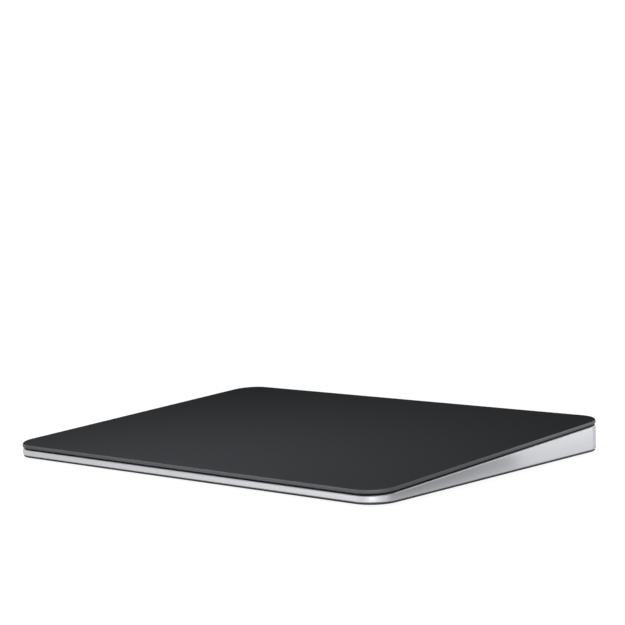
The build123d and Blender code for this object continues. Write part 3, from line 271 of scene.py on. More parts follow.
lamps = (
    # name, place, aim, size, watts, mirrored by metal, falls on paint
    ("key_lamp", (-0.005, -0.103, 0.17), (-0.005, -0.03, 0), 0.05, 0.45, False, True),
    ("corner_lamp", (0.36, -0.46, 0.1), (0, 0, 0), 0.28, 1.3, True, True),
    ("rear_lamp", (0.17, 0.15, 0.03), (0.08, 0.03, 0.005), 0.05, 0.045, True, True),
    ("fill_lamp", (-0.3, 0.7, 0.6), (0, 0, 0), 0.5, 0.8, True, True),
    ("front_lamp", (0.006, -0.16, 0.02), (0.066, -0.057, 0.003), 0.05, 0.02, True, False),
    ("side_lamp", (0.35, -0.15, 0.03), (0.08, 0, 0.005), 0.1, 0.7, False, True),
    ("wall_lamp", (-0.02, 0.5, 0.022), (-0.02, 0.057, 0.006), 0.04, 0.5, False, True),
)
for lamp in lamps:
    add_lamp(*lamp)
print(len(lamps), "lamps")

# %% [markdown]
# Cards shape what metal and glass mirror, as in a product studio. Nothing else sees them, and
# they cast no shadow. A grey strip leans beside the right side and makes that side darker towards
# the near corner. It is three cards in a row, the outer two lighter, so that the metal turns from
# light to dark without a hard line. A low black card behind gives the far edges their outline.

# %% Set up the cards
SIDE_BEARING = math.radians(-3)
SIDE_LEAN = math.radians(20)
SIDE_HEIGHT = 0.11


def add_card(name, shade, middle, bearing, lean, length, height):
    """A card that only metal and glass see: its shade, where it stands, how it turns and leans."""
    material, tree, output = empty_material(name)
    paint = add_node(tree, "Emission", {"Color": linear(shade)})
    tree.links.new(paint.outputs[0], output.inputs["Surface"])
    place = Matrix.Translation(middle) @ Matrix.Rotation(bearing, 4, "Z")
    place = place @ Matrix.Rotation(math.pi / 2 + lean, 4, "Y") @ Matrix.Diagonal((height, length, 1, 1))
    card = add_sheet(name, material, place)
    card.visible_camera = False
    card.visible_diffuse = False
    card.visible_shadow = False


cards = (
    # name, shade, middle, bearing, lean, length, height
    ("near_card", "#b8b8b8", (0.1025, -0.049, 0.05), SIDE_BEARING, SIDE_LEAN, 0.006, SIDE_HEIGHT),
    ("side_card", "#949494", (0.1038, -0.0245, 0.05), SIDE_BEARING, SIDE_LEAN, 0.043, SIDE_HEIGHT),
    ("far_card", "#9e9e9e", (0.1054, 0.007, 0.05), SIDE_BEARING, SIDE_LEAN, 0.02, SIDE_HEIGHT),
    ("rear_card", "#1c1c1d", (-0.04, 0.15, 0.0175), math.radians(112), 0, 0.34, 0.035),
)
for card in cards:
    add_card(*card)
print(len(cards), "cards")

# %% [markdown]
# Every finish here is a Principled shader with a fine pattern that drives three things: a small
# change of colour, a small change of gloss, and a relief far too small to model. Only the size
# of the pattern, its stretch and the two colours differ, so one function makes them all. The
# pattern reads Object coordinates, which are metres on the real object.

# %% Helper for finishes
GRAIN_DETAIL = 3.0
GRAIN_CONTRAST = 0.6


def surface(name, light, dark, grain, roughness, metallic=0.0, relief=0.0, stretch=(1, 1, 1), **constants):
    """A material from two hex colours, a grain size in metres and a range of roughness."""
    material, tree, output = empty_material(name)
    place = add_node(tree, "TexCoord")
    spread = add_node(tree, "Mapping", {"Vector": place.outputs["Object"], "Scale": stretch})
    grains = add_node(
        tree, "TexNoise",
        {
            "Vector": spread.outputs[0], "Scale": 1 / grain,
            "Detail": GRAIN_DETAIL, "Roughness": GRAIN_CONTRAST,
        },
    )
    colour = add_node(
        tree, "Mix", {0: grains.outputs["Fac"], 6: linear(dark), 7: linear(light)}, data_type="RGBA"
    )
    gloss = add_node(
        tree, "MapRange", {"Value": grains.outputs["Fac"], "To Min": roughness[0], "To Max": roughness[1]}
    )
    bump = add_node(tree, "Bump", {"Height": grains.outputs["Fac"], "Distance": relief, "Strength": 1.0})
    shader = add_node(
        tree,
        "BsdfPrincipled",
        {
            "Base Color": colour.outputs[2],
            "Roughness": gloss.outputs[0],
            "Normal": bump.outputs[0],
            "Metallic": metallic,
            **constants,
        },
    )
    tree.links.new(shader.outputs[0], output.inputs["Surface"])
    return material


# %% [markdown]
# The outside. The glass is etched on top, which makes it matt, and printed black from behind;
# its edge is ground round and glossier, and its colour is painted lighter, a painted highlight.
# The body is aluminium, blasted with fine beads and clear anodised, which gives an even satin
# without any direction. The real grain of these surfaces is a few hundredths of a millimetre,
# too fine to show, so it is drawn coarser here.

# %% Finishes of the outside
finishes = {
    "glass": surface(
        "etched_glass_printed_black", "#303133", "#2e2f31", 0.25 * MM, (0.50, 0.56),
        relief=0.0015 * MM, **{"IOR": 1.52, "Specular IOR Level": 0.0},
    ),
    # The edge colour is lighter than the glass as a painted highlight of the light its round catches; its
    # gloss is real.
    "glass_edge": surface(
        "ground_glass_edge_painted_highlight", "#444547", "#404143", 0.3 * MM, (0.42, 0.48),
        relief=0.001 * MM, **{"IOR": 1.52, "Specular IOR Level": 0.5},
    ),
    "frame_black": surface(
        "black_pressed_gasket", "#060607", "#030304", 0.2 * MM, (0.6, 0.75), relief=0.004 * MM,
        **{"Specular IOR Level": 0.1},
    ),
    "aluminium": surface(
        "bead_blasted_anodised_aluminium", "#cecfd3", "#c6c8cc", 0.25 * MM, (0.34, 0.42),
        metallic=1.0, relief=0.004 * MM,
    ),
    # The base plate's dark grey is partly its own colour and partly painted shade, darkened to stand in for
    # the shadow line along the lower edge of the case.
    "base_plastic": surface(
        "spark_textured_polycarbonate_with_painted_shade", "#343436", "#2c2c2e", 0.18 * MM, (0.5, 0.62), relief=0.006 * MM,
        **{"Specular IOR Level": 0.2},
    ),
    "foot_rubber": surface(
        "moulded_grey_rubber", "#8c8c8e", "#828284", 0.3 * MM, (0.7, 0.85), relief=0.01 * MM,
    ),
    "port_steel": surface(
        "drawn_stainless_steel", "#b4b4b6", "#a6a6a8", 0.15 * MM, (0.22, 0.34),
        metallic=1.0, relief=0.001 * MM, stretch=(1, 0.1, 1),
    ),
    "tongue_plastic": surface(
        "black_liquid_crystal_polymer", "#1c1c1d", "#151516", 0.2 * MM, (0.42, 0.55), relief=0.003 * MM,
    ),
    "gold": surface(
        "gold_plated_contact", "#e3c27c", "#d8b266", 0.2 * MM, (0.18, 0.28), metallic=1.0,
    ),
    "switch_plastic": surface(
        "satin_moulded_abs", "#cfd0d2", "#c6c7c9", 0.2 * MM, (0.38, 0.48), relief=0.003 * MM,
    ),
    "green_mark": surface(
        "printed_green_film", "#4fb96a", "#43ad5f", 0.25 * MM, (0.35, 0.45),
    ),
}
print(len(finishes), "outside finishes")

# %% [markdown]
# The inside is never seen while the trackpad is closed, but it comes apart: rolled and plated
# steel, pressed iron, lacquered copper wire, silicone, circuit board, polyimide ribbon and the
# foil of the battery.

# %% Finishes of the inside
finishes.update({
    "steel": surface(
        "rolled_steel_sheet", "#b9b9ba", "#a9a9ab", 0.3 * MM, (0.28, 0.42),
        metallic=1.0, relief=0.002 * MM, stretch=(0.06, 1, 1),
    ),
    "spring_steel": surface(
        "hardened_spring_strip", "#a8a59f", "#98948c", 0.25 * MM, (0.25, 0.38),
        metallic=1.0, relief=0.002 * MM, stretch=(0.08, 1, 1),
    ),
    "screw_steel": surface(
        "zinc_nickel_plated_steel", "#98989b", "#88888b", 0.15 * MM, (0.28, 0.4),
        metallic=1.0, relief=0.002 * MM,
    ),
    "iron": surface(
        "pressed_iron_powder", "#77777a", "#626266", 0.2 * MM, (0.5, 0.7),
        metallic=1.0, relief=0.012 * MM,
    ),
    "copper": surface(
        "lacquered_copper_wire", "#c98557", "#b67345", 0.3 * MM, (0.2, 0.3),
        metallic=1.0, **{"Coat Weight": 0.6, "Coat Roughness": 0.1},
    ),
    "silicone": surface(
        "clear_grey_silicone_gel", "#a9abae", "#9ea0a3", 1.0 * MM, (0.3, 0.4),
        **{"Subsurface Weight": 0.3, "Subsurface Radius": (0.001, 0.001, 0.001), "Subsurface Scale": 1.0},
    ),
    "circuit_board": surface(
        "black_solder_mask", "#18211f", "#111917", 0.6 * MM, (0.24, 0.36), relief=0.01 * MM,
        **{"Coat Weight": 0.4, "Coat Roughness": 0.15},
    ),
    "chip": surface(
        "moulded_epoxy", "#2b2b2c", "#212122", 0.15 * MM, (0.48, 0.62), relief=0.004 * MM,
    ),
    "socket_plastic": surface(
        "ivory_nylon", "#d9d3c4", "#cec7b6", 0.3 * MM, (0.4, 0.5), relief=0.003 * MM,
    ),
    "ribbon": surface(
        "polyimide_ribbon", "#b3741f", "#9c6115", 0.35 * MM, (0.22, 0.34), relief=0.003 * MM,
        stretch=(1, 0.1, 1), **{"Coat Weight": 0.3, "Coat Roughness": 0.2},
    ),
    "battery_foil": surface(
        "coated_aluminium_foil", "#97999c", "#85878a", 1.2 * MM, (0.3, 0.42),
        metallic=0.9, relief=0.01 * MM,
    ),
    "nickel": surface(
        "nickel_strip", "#bcb8ac", "#aca89b", 0.25 * MM, (0.25, 0.36), metallic=1.0, relief=0.002 * MM,
    ),
    "adhesive": surface(
        "acrylic_adhesive_film", "#e0e0dc", "#d2d2ce", 0.8 * MM, (0.25, 0.4), relief=0.002 * MM,
    ),
    "shield_steel": surface(
        "tin_plated_sheet", "#c3c3c4", "#b2b2b4", 0.4 * MM, (0.26, 0.4), metallic=1.0, relief=0.004 * MM,
    ),
    "switch_body_plastic": surface(
        "black_moulded_nylon", "#242425", "#1b1b1c", 0.2 * MM, (0.45, 0.6), relief=0.004 * MM,
    ),
    "gauge_foil": surface(
        "strain_gauge_foil", "#b98a3c", "#a5772b", 0.12 * MM, (0.3, 0.42), relief=0.002 * MM,
        stretch=(1, 0.15, 1),
    ),
})
print(len(finishes), "finishes in all")

# %% [markdown]
# The CAD nodes whose shape is already right keep it and only get their finish. The record says
# which slot each node belongs to, so a loop does this.

# %% Give the CAD nodes their finishes
node_slots = {part["node"]: part["material_slot"] for part in frame["record"]["subparts"]}
for name, slot in node_slots.items():
    nodes[name].data.materials.clear()
    nodes[name].data.materials.append(finishes[slot])
print(len(node_slots), "nodes dressed")

# %% [markdown]
# New pieces end up as an object at the origin with its shape in its mesh. Their shading is
# smooth across small angles and sharp across large ones. A Weighted Normal modifier lets the
# large flat faces keep their own direction, so that only the rounds between them turn the light.

# %% Helper for pieces
SMOOTH_ANGLE = math.radians(32)


def finished_piece(shape, name, body, materials, replaced=()):
    """Turns a bmesh into an object that rides on a CAD body, if one is given, and stands for nodes."""
    bmesh.ops.recalc_face_normals(shape, faces=shape.faces)
    mesh = bpy.data.meshes.new(name)
    shape.to_mesh(mesh)
    shape.free()
    mesh.polygons.foreach_set("use_smooth", [True] * len(mesh.polygons))
    mesh.set_sharp_from_angle(angle=SMOOTH_ANGLE)
    piece = bpy.data.objects.new(name, mesh)
    bpy.context.scene.collection.objects.link(piece)
    for material in materials:
        mesh.materials.append(material)
    weighted = piece.modifiers.new("weighted_normal", "WEIGHTED_NORMAL")
    weighted.keep_sharp = True
    if body:
        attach(piece, body)
    if replaced:
        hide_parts(*replaced)
    print(name, len(mesh.polygons), "faces on", body or "two bodies")
    return piece


# %% [markdown]
# Edges are rounded with bevel. Its defaults in a script differ from the editor's, so one function
# gives it a round profile and the material of the faces around. The other helpers find flat
# faces by the way they look, and the edges round them.

# %% Helpers for edges
def soften(shape, edges, offset, steps, clamped=False):
    """Rounds some edges of a shape."""
    bmesh.ops.bevel(
        shape, geom=edges, offset=offset, segments=steps, profile=0.5,
        affect="EDGES", clamp_overlap=clamped, material=-1,
    )


def facing(shape, direction, least=0.9):
    """The faces that look along a direction."""
    shape.normal_update()
    return [face for face in shape.faces if face.normal.dot(direction) > least]


def rim_edges(faces):
    """The edges round some flat faces."""
    inside = set(faces)
    return [edge for face in faces for edge in face.edges if not inside.issuperset(edge.link_faces)]


# %% [markdown]
# Two pieces are rounded slabs that lie parallel to the glass: the plate itself and the ring under
# it. A cube is a simple start for both. Its upright edges are rounded to the corner radius, and
# two planes cut it to the slope, one above and one below.

# %% Helper for sloping slabs
def wedge_slab(inset, top_drop, bottom_drop, corner_steps):
    """A rounded upright block, cut by two planes that lie parallel to the glass."""
    shape = bmesh.new()
    size = (WIDTH - 2 * inset, DEPTH - 2 * inset, 2 * REAR_HEIGHT, 1)
    lift = Matrix.Translation((0, 0, REAR_HEIGHT / 2))
    bmesh.ops.create_cube(shape, size=1, matrix=lift @ Matrix.Diagonal(size))
    uprights = [e for e in shape.edges if abs(e.verts[0].co.z - e.verts[1].co.z) > REAR_HEIGHT]
    soften(shape, uprights, CORNER_RADIUS - inset, corner_steps)
    for drop, outward in ((top_drop, UP_FROM_GLASS), (bottom_drop, -UP_FROM_GLASS)):
        cut = bmesh.ops.bisect_plane(
            shape, geom=shape.verts[:] + shape.edges[:] + shape.faces[:],
            plane_co=TOP_MIDDLE - UP_FROM_GLASS * drop, plane_no=outward, clear_outer=True,
        )
        rim = [part for part in cut["geom_cut"] if isinstance(part, bmesh.types.BMEdge)]
        bmesh.ops.edgeloop_fill(shape, edges=rim)
    return shape


# %% [markdown]
# The glass is what the eye sees first. It is a plate 1.25 mm thick, ground to a soft round along
# its upper edge and to a small bevel below. The faces of the ground edge get their own material,
# glossier than the etched top and painted lighter: a painted highlight for the light that the
# round edge catches.

# %% Glass plate
TOP_ROUND = 0.55 * MM
TOP_ROUND_STEPS = 8
LOWER_BEVEL = 0.15 * MM
LOWER_BEVEL_STEPS = 2
GLASS_CORNER_STEPS = 32
ETCHED_LEAST = 0.75

shape = wedge_slab(0, 0, GLASS_THICKNESS, GLASS_CORNER_STEPS)
soften(shape, rim_edges(facing(shape, UP_FROM_GLASS)), TOP_ROUND, TOP_ROUND_STEPS)
soften(shape, rim_edges(facing(shape, -UP_FROM_GLASS)), LOWER_BEVEL, LOWER_BEVEL_STEPS)
shape.normal_update()
# Faces off the top get the edge finish, whose lighter colour is a painted highlight.
for face in shape.faces:
    face.material_index = 0 if face.normal.dot(UP_FROM_GLASS) > ETCHED_LEAST else 1
finished_piece(
    shape, "glass_plate", "touch_plate", [finishes["glass"], finishes["glass_edge"]],
    replaced=["glass_surface"],
)

# %% [markdown]
# Under the edge of the glass lies a thin black ring, set back a little. It is what makes the
# shadow line between glass and metal so even. The ring is a slab whose flat faces are inset by
# the width of the ring; the inner faces go, and the two inner loops are bridged.

# %% Black ring under the glass
RING_INSET = 0.35 * MM
RING_WIDTH = 1.65 * MM
RING_THICKNESS = 0.15 * MM

shape = wedge_slab(RING_INSET, GLASS_THICKNESS, GLASS_THICKNESS + RING_THICKNESS, GLASS_CORNER_STEPS)
flats = facing(shape, UP_FROM_GLASS) + facing(shape, -UP_FROM_GLASS)
bmesh.ops.inset_region(shape, faces=flats, thickness=RING_WIDTH, use_even_offset=True)
inner_rims = rim_edges(flats)
bmesh.ops.delete(shape, geom=flats, context="FACES_ONLY")
bmesh.ops.bridge_loops(shape, edges=inner_rims)
finished_piece(
    shape, "black_ring", "touch_plate", [finishes["frame_black"]], replaced=["glass_frame"]
)

# %% [markdown]
# The CAD solids of the case, the base plate and the other outside pieces have the right form,
# but their mesh is loose flat triangles. A copy of such a mesh is merged, its flat faces are
# joined again, and its sharp edges get a fine bevel, so that the rounds shade smoothly and the
# edges catch light as real edges do.

# %% Helpers for refined copies
EDGE_ANGLE = math.radians(40)
FLAT_ANGLE = math.radians(0.4)
MERGE_DISTANCE = 0.0005 * MM


def refined_shape(node, edge_break, steps):
    """A merged copy of a CAD node's mesh with fine bevels along its sharp edges."""
    shape = bmesh.new()
    shape.from_mesh(nodes[node].data)
    bmesh.ops.remove_doubles(shape, verts=shape.verts, dist=MERGE_DISTANCE)
    bmesh.ops.dissolve_limit(
        shape, angle_limit=FLAT_ANGLE, verts=shape.verts, edges=shape.edges, use_dissolve_boundaries=False
    )
    sharp = [e for e in shape.edges if len(e.link_faces) == 2 and e.calc_face_angle(0) > EDGE_ANGLE]
    soften(shape, sharp, edge_break, steps, clamped=True)
    return shape


def refined_copy(node, name, body, edge_break, steps):
    """A refined copy of a CAD node as a piece that stands for it."""
    shape = refined_shape(node, edge_break, steps)
    slot = node_slots[node]
    finished_piece(shape, name, body, [finishes[slot]], replaced=[node])


# %% [markdown]
# Seven outside solids are refined. The breaks are small, from a hundredth of a millimetre on the
# gold contacts to almost a tenth on moulded plastic, because that is how sharp such parts feel.

# %% Refined outside pieces
outside_pieces = (
    # node, name, body, edge break in mm, steps
    ("case", "anodised_case", "base", 0.04, 2),
    ("base_plate", "base_cover", "base", 0.04, 2),
    ("port_shell", "port_sleeve", "base", 0.06, 3),
    ("port_tongue", "port_blade", "base", 0.08, 3),
    ("port_contacts", "port_pads", "base", 0.01, 1),
    ("switch_slider", "switch_knob", "power_slider", 0.05, 3),
    ("switch_body", "switch_housing", "base", 0.08, 3),
)
for node, name, body, edge_break, steps in outside_pieces:
    refined_copy(node, name, body, edge_break * MM, steps)
print(len(outside_pieces), "outside solids refined")

# %% [markdown]
# Anything round is quickest as a profile that is spun about its axis, as on a lathe: the points
# of the profile go from the axis out and back to it, so the turned solid is closed.

# %% Helper for turned pieces
def turned_shape(profile, place, steps):
    """A closed round solid: points of radius and height, spun about Z, and put in its place."""
    shape = bmesh.new()
    points = [shape.verts.new((radius, 0, height)) for radius, height in profile]
    lines = [shape.edges.new(pair) for pair in zip(points, points[1:])]
    bmesh.ops.spin(
        shape, geom=points + lines, cent=(0, 0, 0), axis=(0, 0, 1), dvec=(0, 0, 0),
        angle=2 * math.pi, steps=steps, use_merge=True,
    )
    bmesh.ops.remove_doubles(shape, verts=shape.verts, dist=MERGE_DISTANCE)
    bmesh.ops.transform(shape, matrix=place, verts=shape.verts)
    return shape


# %% [markdown]
# The four feet are discs of soft rubber, moulded with a round lower edge and one fine groove,
# and glued into shallow recesses of the base. The box of each CAD foot gives its size and place.

# %% Rubber feet
FOOT_ROUND = 0.3 * MM
FOOT_ROUND_STEPS = 6
GROOVE_RADIUS = 3.1 * MM
GROOVE_WIDTH = 0.4 * MM
GROOVE_FLOOR = GROOVE_WIDTH / 3
GROOVE_DEPTH = 0.15 * MM
FOOT_STEPS = 96

for corner in ("front_left", "front_right", "rear_left", "rear_right"):
    low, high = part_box("foot_" + corner)
    radius = (high.x - low.x) / 2
    thickness = high.z - low.z
    outline = [
        (0, thickness),
        (radius, thickness),
        (radius, 0),
        (GROOVE_RADIUS + GROOVE_WIDTH / 2, 0),
        (GROOVE_RADIUS + GROOVE_FLOOR / 2, GROOVE_DEPTH),
        (GROOVE_RADIUS - GROOVE_FLOOR / 2, GROOVE_DEPTH),
        (GROOVE_RADIUS - GROOVE_WIDTH / 2, 0),
        (0, 0),
    ]
    middle = Vector(((low.x + high.x) / 2, (low.y + high.y) / 2, low.z))
    shape = turned_shape(outline, Matrix.Translation(middle), FOOT_STEPS)
    reach = radius - MERGE_DISTANCE
    outermost = {v for v in shape.verts if v.co.z < MERGE_DISTANCE and (v.co - middle).length > reach}
    rim = [edge for edge in shape.edges if outermost.issuperset(edge.verts)]
    soften(shape, rim, FOOT_ROUND, FOOT_ROUND_STEPS)
    finished_piece(
        shape, "rubber_foot_" + corner, "base", [finishes["foot_rubber"]],
        replaced=["foot_" + corner],
    )

# %% [markdown]
# The inside has small parts that repeat: 22 screws, and the turns of two coils. Each is shaped
# once, and the places come from the CAD nodes, whose separate solids are found by walking along
# their edges. The force tabs and the magnet lie parallel to the glass, so their nodes are
# measured after a turn that lays the glass flat, and the new pieces are turned back.

# %% Helpers for repeated pieces
LAY_FLAT = Matrix.Rotation(-TILT, 4, "X")
UPRIGHT = Matrix.Identity(4)
UPSIDE_DOWN = Matrix.Rotation(math.pi, 4, "X")


def solids_in(node, turn):
    """The points of each separate solid in a CAD node, after a turn of the whole node."""
    shape = bmesh.new()
    shape.from_mesh(nodes[node].data)
    bmesh.ops.remove_doubles(shape, verts=shape.verts, dist=MERGE_DISTANCE)
    bmesh.ops.transform(shape, matrix=turn, verts=shape.verts)
    seen = set()
    solids = []
    for start in shape.verts:
        if start in seen:
            continue
        seen.add(start)
        group = [start]
        for vert in group:
            for other in [edge.other_vert(vert) for edge in vert.link_edges]:
                if other not in seen:
                    seen.add(other)
                    group.append(other)
        solids.append([vert.co.copy() for vert in group])
    shape.free()
    return solids


def box_of(points):
    """The middle of some points, and half their size along each axis."""
    low = Vector([min(point[n] for point in points) for n in range(3)])
    high = Vector([max(point[n] for point in points) for n in range(3)])
    return (low + high) / 2, (high - low) / 2


def joined(shapes_and_places):
    """One mesh with each shape at each of its places."""
    whole = bmesh.new()
    for shape, places in shapes_and_places:
        mesh = bpy.data.meshes.new("repeat")
        shape.to_mesh(mesh)
        shape.free()
        for place in places:
            copy = mesh.copy()
            copy.transform(place)
            whole.from_mesh(copy)
            bpy.data.meshes.remove(copy)
        bpy.data.meshes.remove(mesh)
    return whole


# %% [markdown]
# A machine screw of this size has a flat round head with softened rim, a six-sided socket and a
# fine thread. It is a spun profile too: the thread is a row of rings, which at this size looks
# the same as a helix, and the points round the socket are then moved onto a hexagon.

# %% Helper for screws
SCREW_STEPS = 24
THREAD_PITCH = 0.25 * MM
THREAD_DEPTH = 0.09 * MM
SOCKET_RADIUS = 0.5 * MM
HEX_SECTOR = math.radians(60)
# shares of the head's radius and height, from the seat up to its top, and the floor of the socket
HEAD_OUTLINE = ((1, 0), (1, 0.5), (0.95, 0.8), (0.84, 1))
SOCKET_FLOOR = 0.4
SOCKET_POINT = 0.3


def screw_shape(head_radius, head_height, shank_radius, shank_length):
    """A screw with its head above the origin and its shank below."""
    root = shank_radius - THREAD_DEPTH
    outline = [(0, -shank_length), (root, -shank_length)]
    for ring in range(int(shank_length / THREAD_PITCH) - 1):
        foot = ring * THREAD_PITCH - shank_length
        outline += [(shank_radius, foot + THREAD_PITCH / 2), (root, foot + THREAD_PITCH)]
    outline.append((root, 0))
    outline += [(wide * head_radius, high * head_height) for wide, high in HEAD_OUTLINE]
    outline += [
        (SOCKET_RADIUS, head_height),
        (SOCKET_RADIUS, SOCKET_FLOOR * head_height),
        (0, SOCKET_POINT * head_height),
    ]
    shape = turned_shape(outline, UPRIGHT, SCREW_STEPS)
    for vert in shape.verts:
        away = vert.co.xy.length
        if vert.co.z > 0 and abs(away - SOCKET_RADIUS) < MERGE_DISTANCE:
            angle = math.atan2(vert.co.y, vert.co.x) % HEX_SECTOR
            vert.co.xy *= math.cos(HEX_SECTOR / 2) / math.cos(angle - HEX_SECTOR / 2)
    return shape


# %% [markdown]
# In the CAD a screw is two plain prisms, a head and a shank. The levels of its points are the
# tip, the seat of the head and the top, so one screw of each node gives the sizes, and all of
# them give the places. The screws of the base stand on their heads.

# %% Screws
for node, turn in (
    ("base_screws", UPSIDE_DOWN),
    ("board_screws", UPRIGHT),
    ("port_screws", UPRIGHT),
    ("switch_screws", UPRIGHT),
    ("tab_screws", LAY_FLAT),
    ("haptic_screws", LAY_FLAT),
):
    solids = solids_in(node, turn)
    heights = sorted({round(point.z / MM, 3) * MM for point in solids[0]})
    tip, seat, top = heights[0], heights[1], heights[-1]
    head_size = box_of(solids[0])[1]
    tip_size = box_of([point for point in solids[0] if point.z < tip + MERGE_DISTANCE])[1]
    screw = screw_shape(min(head_size.xy), top - seat, min(tip_size.xy), seat - tip)
    places = []
    for points in solids:
        middle, half = box_of(points)
        spot = Vector((middle.x, middle.y, middle.z - half.z + seat - tip))
        places.append(turn.inverted() @ Matrix.Translation(spot))
    finished_piece(
        joined([(screw, places)]), node.replace("screws", "machine_screws"), "base",
        [finishes["screw_steel"]], replaced=[node],
    )

# %% [markdown]
# Under the plate, an electromagnet pulls it sideways for a moment, which the finger feels as a
# click. Its two coils are lacquered copper wire, wound on black bobbins. A turn of wire is a small
# circle that is swept round the bobbin: spun at each corner, and extruded along each side.

# %% Helper for a turn of wire
WIRE_RADIUS = 0.15 * MM
WIRE_SIDES = 8
BEND_RADIUS = 0.5 * MM
BEND_STEPS = 4


def wire_turn(half_y, half_z):
    """One closed turn of wire in the YZ plane, round a bobbin with its middle at the origin."""
    shape = bmesh.new()
    run_y = half_y - BEND_RADIUS
    run_z = half_z - BEND_RADIUS
    start = Matrix.Translation((0, run_y, half_z)) @ Matrix.Rotation(math.pi / 2, 4, "X")
    bmesh.ops.create_circle(
        shape, cap_ends=False, segments=WIRE_SIDES, radius=WIRE_RADIUS, matrix=start
    )
    end = shape.verts[:] + shape.edges[:]
    for side_y, side_z, run in (
        (1, 1, (0, 0, -2 * run_z)),
        (1, -1, (0, -2 * run_y, 0)),
        (-1, -1, (0, 0, 2 * run_z)),
        (-1, 1, (0, 2 * run_y, 0)),
    ):
        corner = bmesh.ops.spin(
            shape, geom=end, cent=(0, side_y * run_y, side_z * run_z), axis=(-1, 0, 0),
            dvec=(0, 0, 0), angle=math.pi / 2, steps=BEND_STEPS,
        )
        loop = [part for part in corner["geom_last"] if isinstance(part, bmesh.types.BMEdge)]
        side = bmesh.ops.extrude_edge_only(shape, edges=loop)
        ends = [part for part in side["geom"] if isinstance(part, bmesh.types.BMVert)]
        bmesh.ops.translate(shape, verts=ends, vec=run)
        far = set(ends)
        end = ends + [e for vert in ends for e in vert.link_edges if far.issuperset(e.verts)]
        end = list(dict.fromkeys(end))
    bmesh.ops.remove_doubles(shape, verts=shape.verts, dist=MERGE_DISTANCE)
    return shape


# %% [markdown]
# A bobbin is a square barrel with a flange at each end. All three are the same shape with other
# sizes: a block with a square hole, made by insetting its two ends and bridging the insets.

# %% Helper for bobbins
def square_ring(length, outer, inner):
    """A block along X with a square hole: outer and inner are half sizes along Y and Z."""
    shape = bmesh.new()
    bmesh.ops.create_cube(
        shape, size=1, matrix=Matrix.Diagonal((length, 2 * outer[0], 2 * outer[1], 1))
    )
    ends = facing(shape, Vector((1, 0, 0))) + facing(shape, Vector((-1, 0, 0)))
    margin = min(outer) / 2
    bmesh.ops.inset_individual(shape, faces=ends, thickness=margin, use_even_offset=True)
    shrink = (1, inner[0] / (outer[0] - margin), inner[1] / (outer[1] - margin))
    corners = {vert for face in ends for vert in face.verts}
    bmesh.ops.scale(shape, vec=shrink, verts=list(corners))
    rims = rim_edges(ends)
    bmesh.ops.delete(shape, geom=ends, context="FACES_ONLY")
    bmesh.ops.bridge_loops(shape, edges=rims)
    return shape


# %% [markdown]
# The CAD coil gives the room for the wire. As many turns as fit lie side by side between the
# flanges, and the barrel reaches a little way between them, so that no gap shows.

# %% Magnet coils
FLANGE = 0.3 * MM
BARREL_DROP = 1.6 * WIRE_RADIUS

coils = solids_in("haptic_coils", LAY_FLAT)
middles = []
for points in coils:
    middle, half = box_of(points)
    middles.append(LAY_FLAT.inverted() @ Matrix.Translation(middle))
hole = [min(abs(point[n] - middle[n]) for point in points) for n in (1, 2)]
wire_room = half.x - FLANGE
turns = int(wire_room / WIRE_RADIUS)
pitch = 2 * wire_room / turns
wires = [
    place @ Matrix.Translation(((n + 0.5) * pitch - wire_room, 0, 0))
    for place in middles for n in range(turns)
]
windings = joined([(wire_turn(half.y - WIRE_RADIUS, half.z - WIRE_RADIUS), wires)])
finished_piece(
    windings, "coil_windings", "base", [finishes["copper"]], replaced=["haptic_coils"]
)
flanges = [
    place @ Matrix.Translation((side * (half.x - FLANGE / 2), 0, 0))
    for place in middles for side in (-1, 1)
]
barrel_size = [size - BARREL_DROP for size in (half.y, half.z)]
bobbins = joined([
    (square_ring(FLANGE, (half.y, half.z), hole), flanges),
    (square_ring(2 * (half.x - FLANGE), barrel_size, hole), middles),
])
finished_piece(bobbins, "coil_bobbins", "base", [finishes["tongue_plastic"]])
print(turns, "turns of wire on each of", len(coils), "coils")

# %% [markdown]
# The other inner solids are right as they are, but real edges are never sharp: a foil pouch is
# soft, a drawn can and pressed iron are rounded, and sawn board and stamped sheet keep a fine
# broken edge. So each gets a refined copy with an edge of its own size.

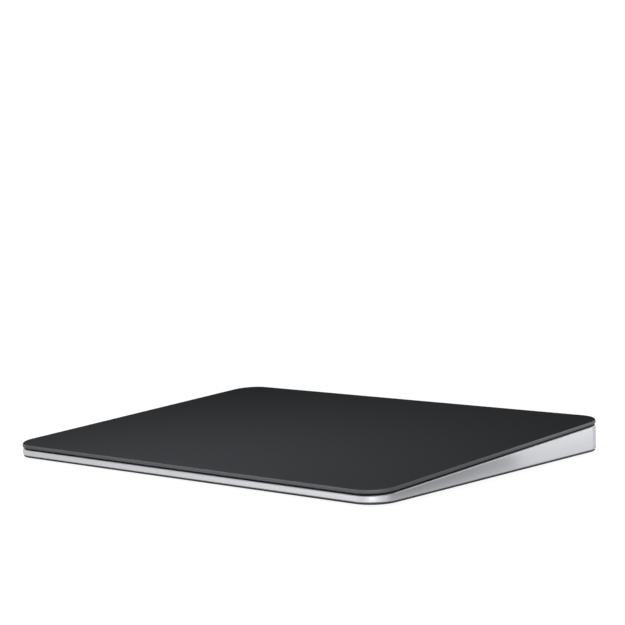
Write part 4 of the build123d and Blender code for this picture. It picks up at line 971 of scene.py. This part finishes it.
# %% Edges of the inner pieces
inner_pieces = (
    # node, name, body, edge break in mm, steps
    ("battery_cell", "battery_pouch", "base", 0.45, 4),
    ("battery_board", "battery_guard_board", "base", 0.03, 1),
    ("main_board", "logic_board", "base", 0.04, 1),
    ("processor_chip", "processor_package", "base", 0.08, 2),
    ("board_chips", "small_packages", "base", 0.06, 2),
    ("board_connectors", "ribbon_sockets", "base", 0.08, 2),
    ("radio_shield", "radio_can", "base", 0.15, 3),
    ("antenna_chip", "ceramic_antenna", "base", 0.06, 2),
    ("haptic_cores", "iron_cores", "base", 0.12, 3),
    ("haptic_bracket", "magnet_pan", "base", 0.05, 2),
    ("port_bracket", "port_clip", "base", 0.05, 2),
    ("gel_pads", "silicone_pads", "suspension", 0.15, 3),
    ("haptic_armature", "iron_bar", "touch_plate", 0.12, 3),
    ("sensor_board", "touch_board", "touch_plate", 0.03, 1),
    ("sensor_chips", "touch_chips", "touch_plate", 0.06, 2),
    ("stiffener_plate", "carrier_sheet", "touch_plate", 0.03, 1),
)
for node, name, body, edge_break, steps in inner_pieces:
    refined_copy(node, name, body, edge_break * MM, steps)
print(len(inner_pieces), "inner solids refined")

# %% [markdown]
# When the glass is pressed, four steel tabs and the touch ribbon bend. Each gets a refined copy that
# is cut into slices across the place where it bends, between the end that the base holds and the
# end that the suspension moves; the copy keeps its place in the world and rides on no body. A real
# tab bends along its whole neck; on this one the slices lie between its gauge and its pad, so that
# the gauge can stay with its own ribbon.

# %% Bending tabs and ribbon
TAB_CLAMP_X = 66.2 * MM
TAB_TIP_X = 64.1 * MM
TAB_EDGE_BREAK = 0.03 * MM
RIBBON_SOCKET_Y = 48.4 * MM
RIBBON_PLATE_Y = 46.0 * MM
RIBBON_EDGE_BREAK = 0.01 * MM
SLICES = 8


def bending_copy(node, name, edge_break, start, end):
    """A refined copy of a CAD node, sliced across the line from start to end, baked into its place."""
    shape = refined_shape(node, edge_break, 1)
    for n in range(SLICES + 1):
        bmesh.ops.bisect_plane(
            shape, geom=shape.verts[:] + shape.edges[:] + shape.faces[:],
            plane_co=start.lerp(end, n / SLICES), plane_no=(end - start).normalized(),
        )
    slot = node_slots[node]
    piece = finished_piece(shape, name, None, [finishes[slot]], replaced=[node])
    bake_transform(piece)


for row in ("front", "rear"):
    for side, sign in (("left", -1), ("right", 1)):
        bending_copy(
            f"force_tab_{row}_{side}", f"bending_tab_{row}_{side}", TAB_EDGE_BREAK,
            Vector((sign * TAB_CLAMP_X, 0, 0)), Vector((sign * TAB_TIP_X, 0, 0)),
        )
bending_copy(
    "touch_flex", "touch_ribbon", RIBBON_EDGE_BREAK,
    Vector((0, RIBBON_SOCKET_Y, 0)), Vector((0, RIBBON_PLATE_Y, 0)),
)
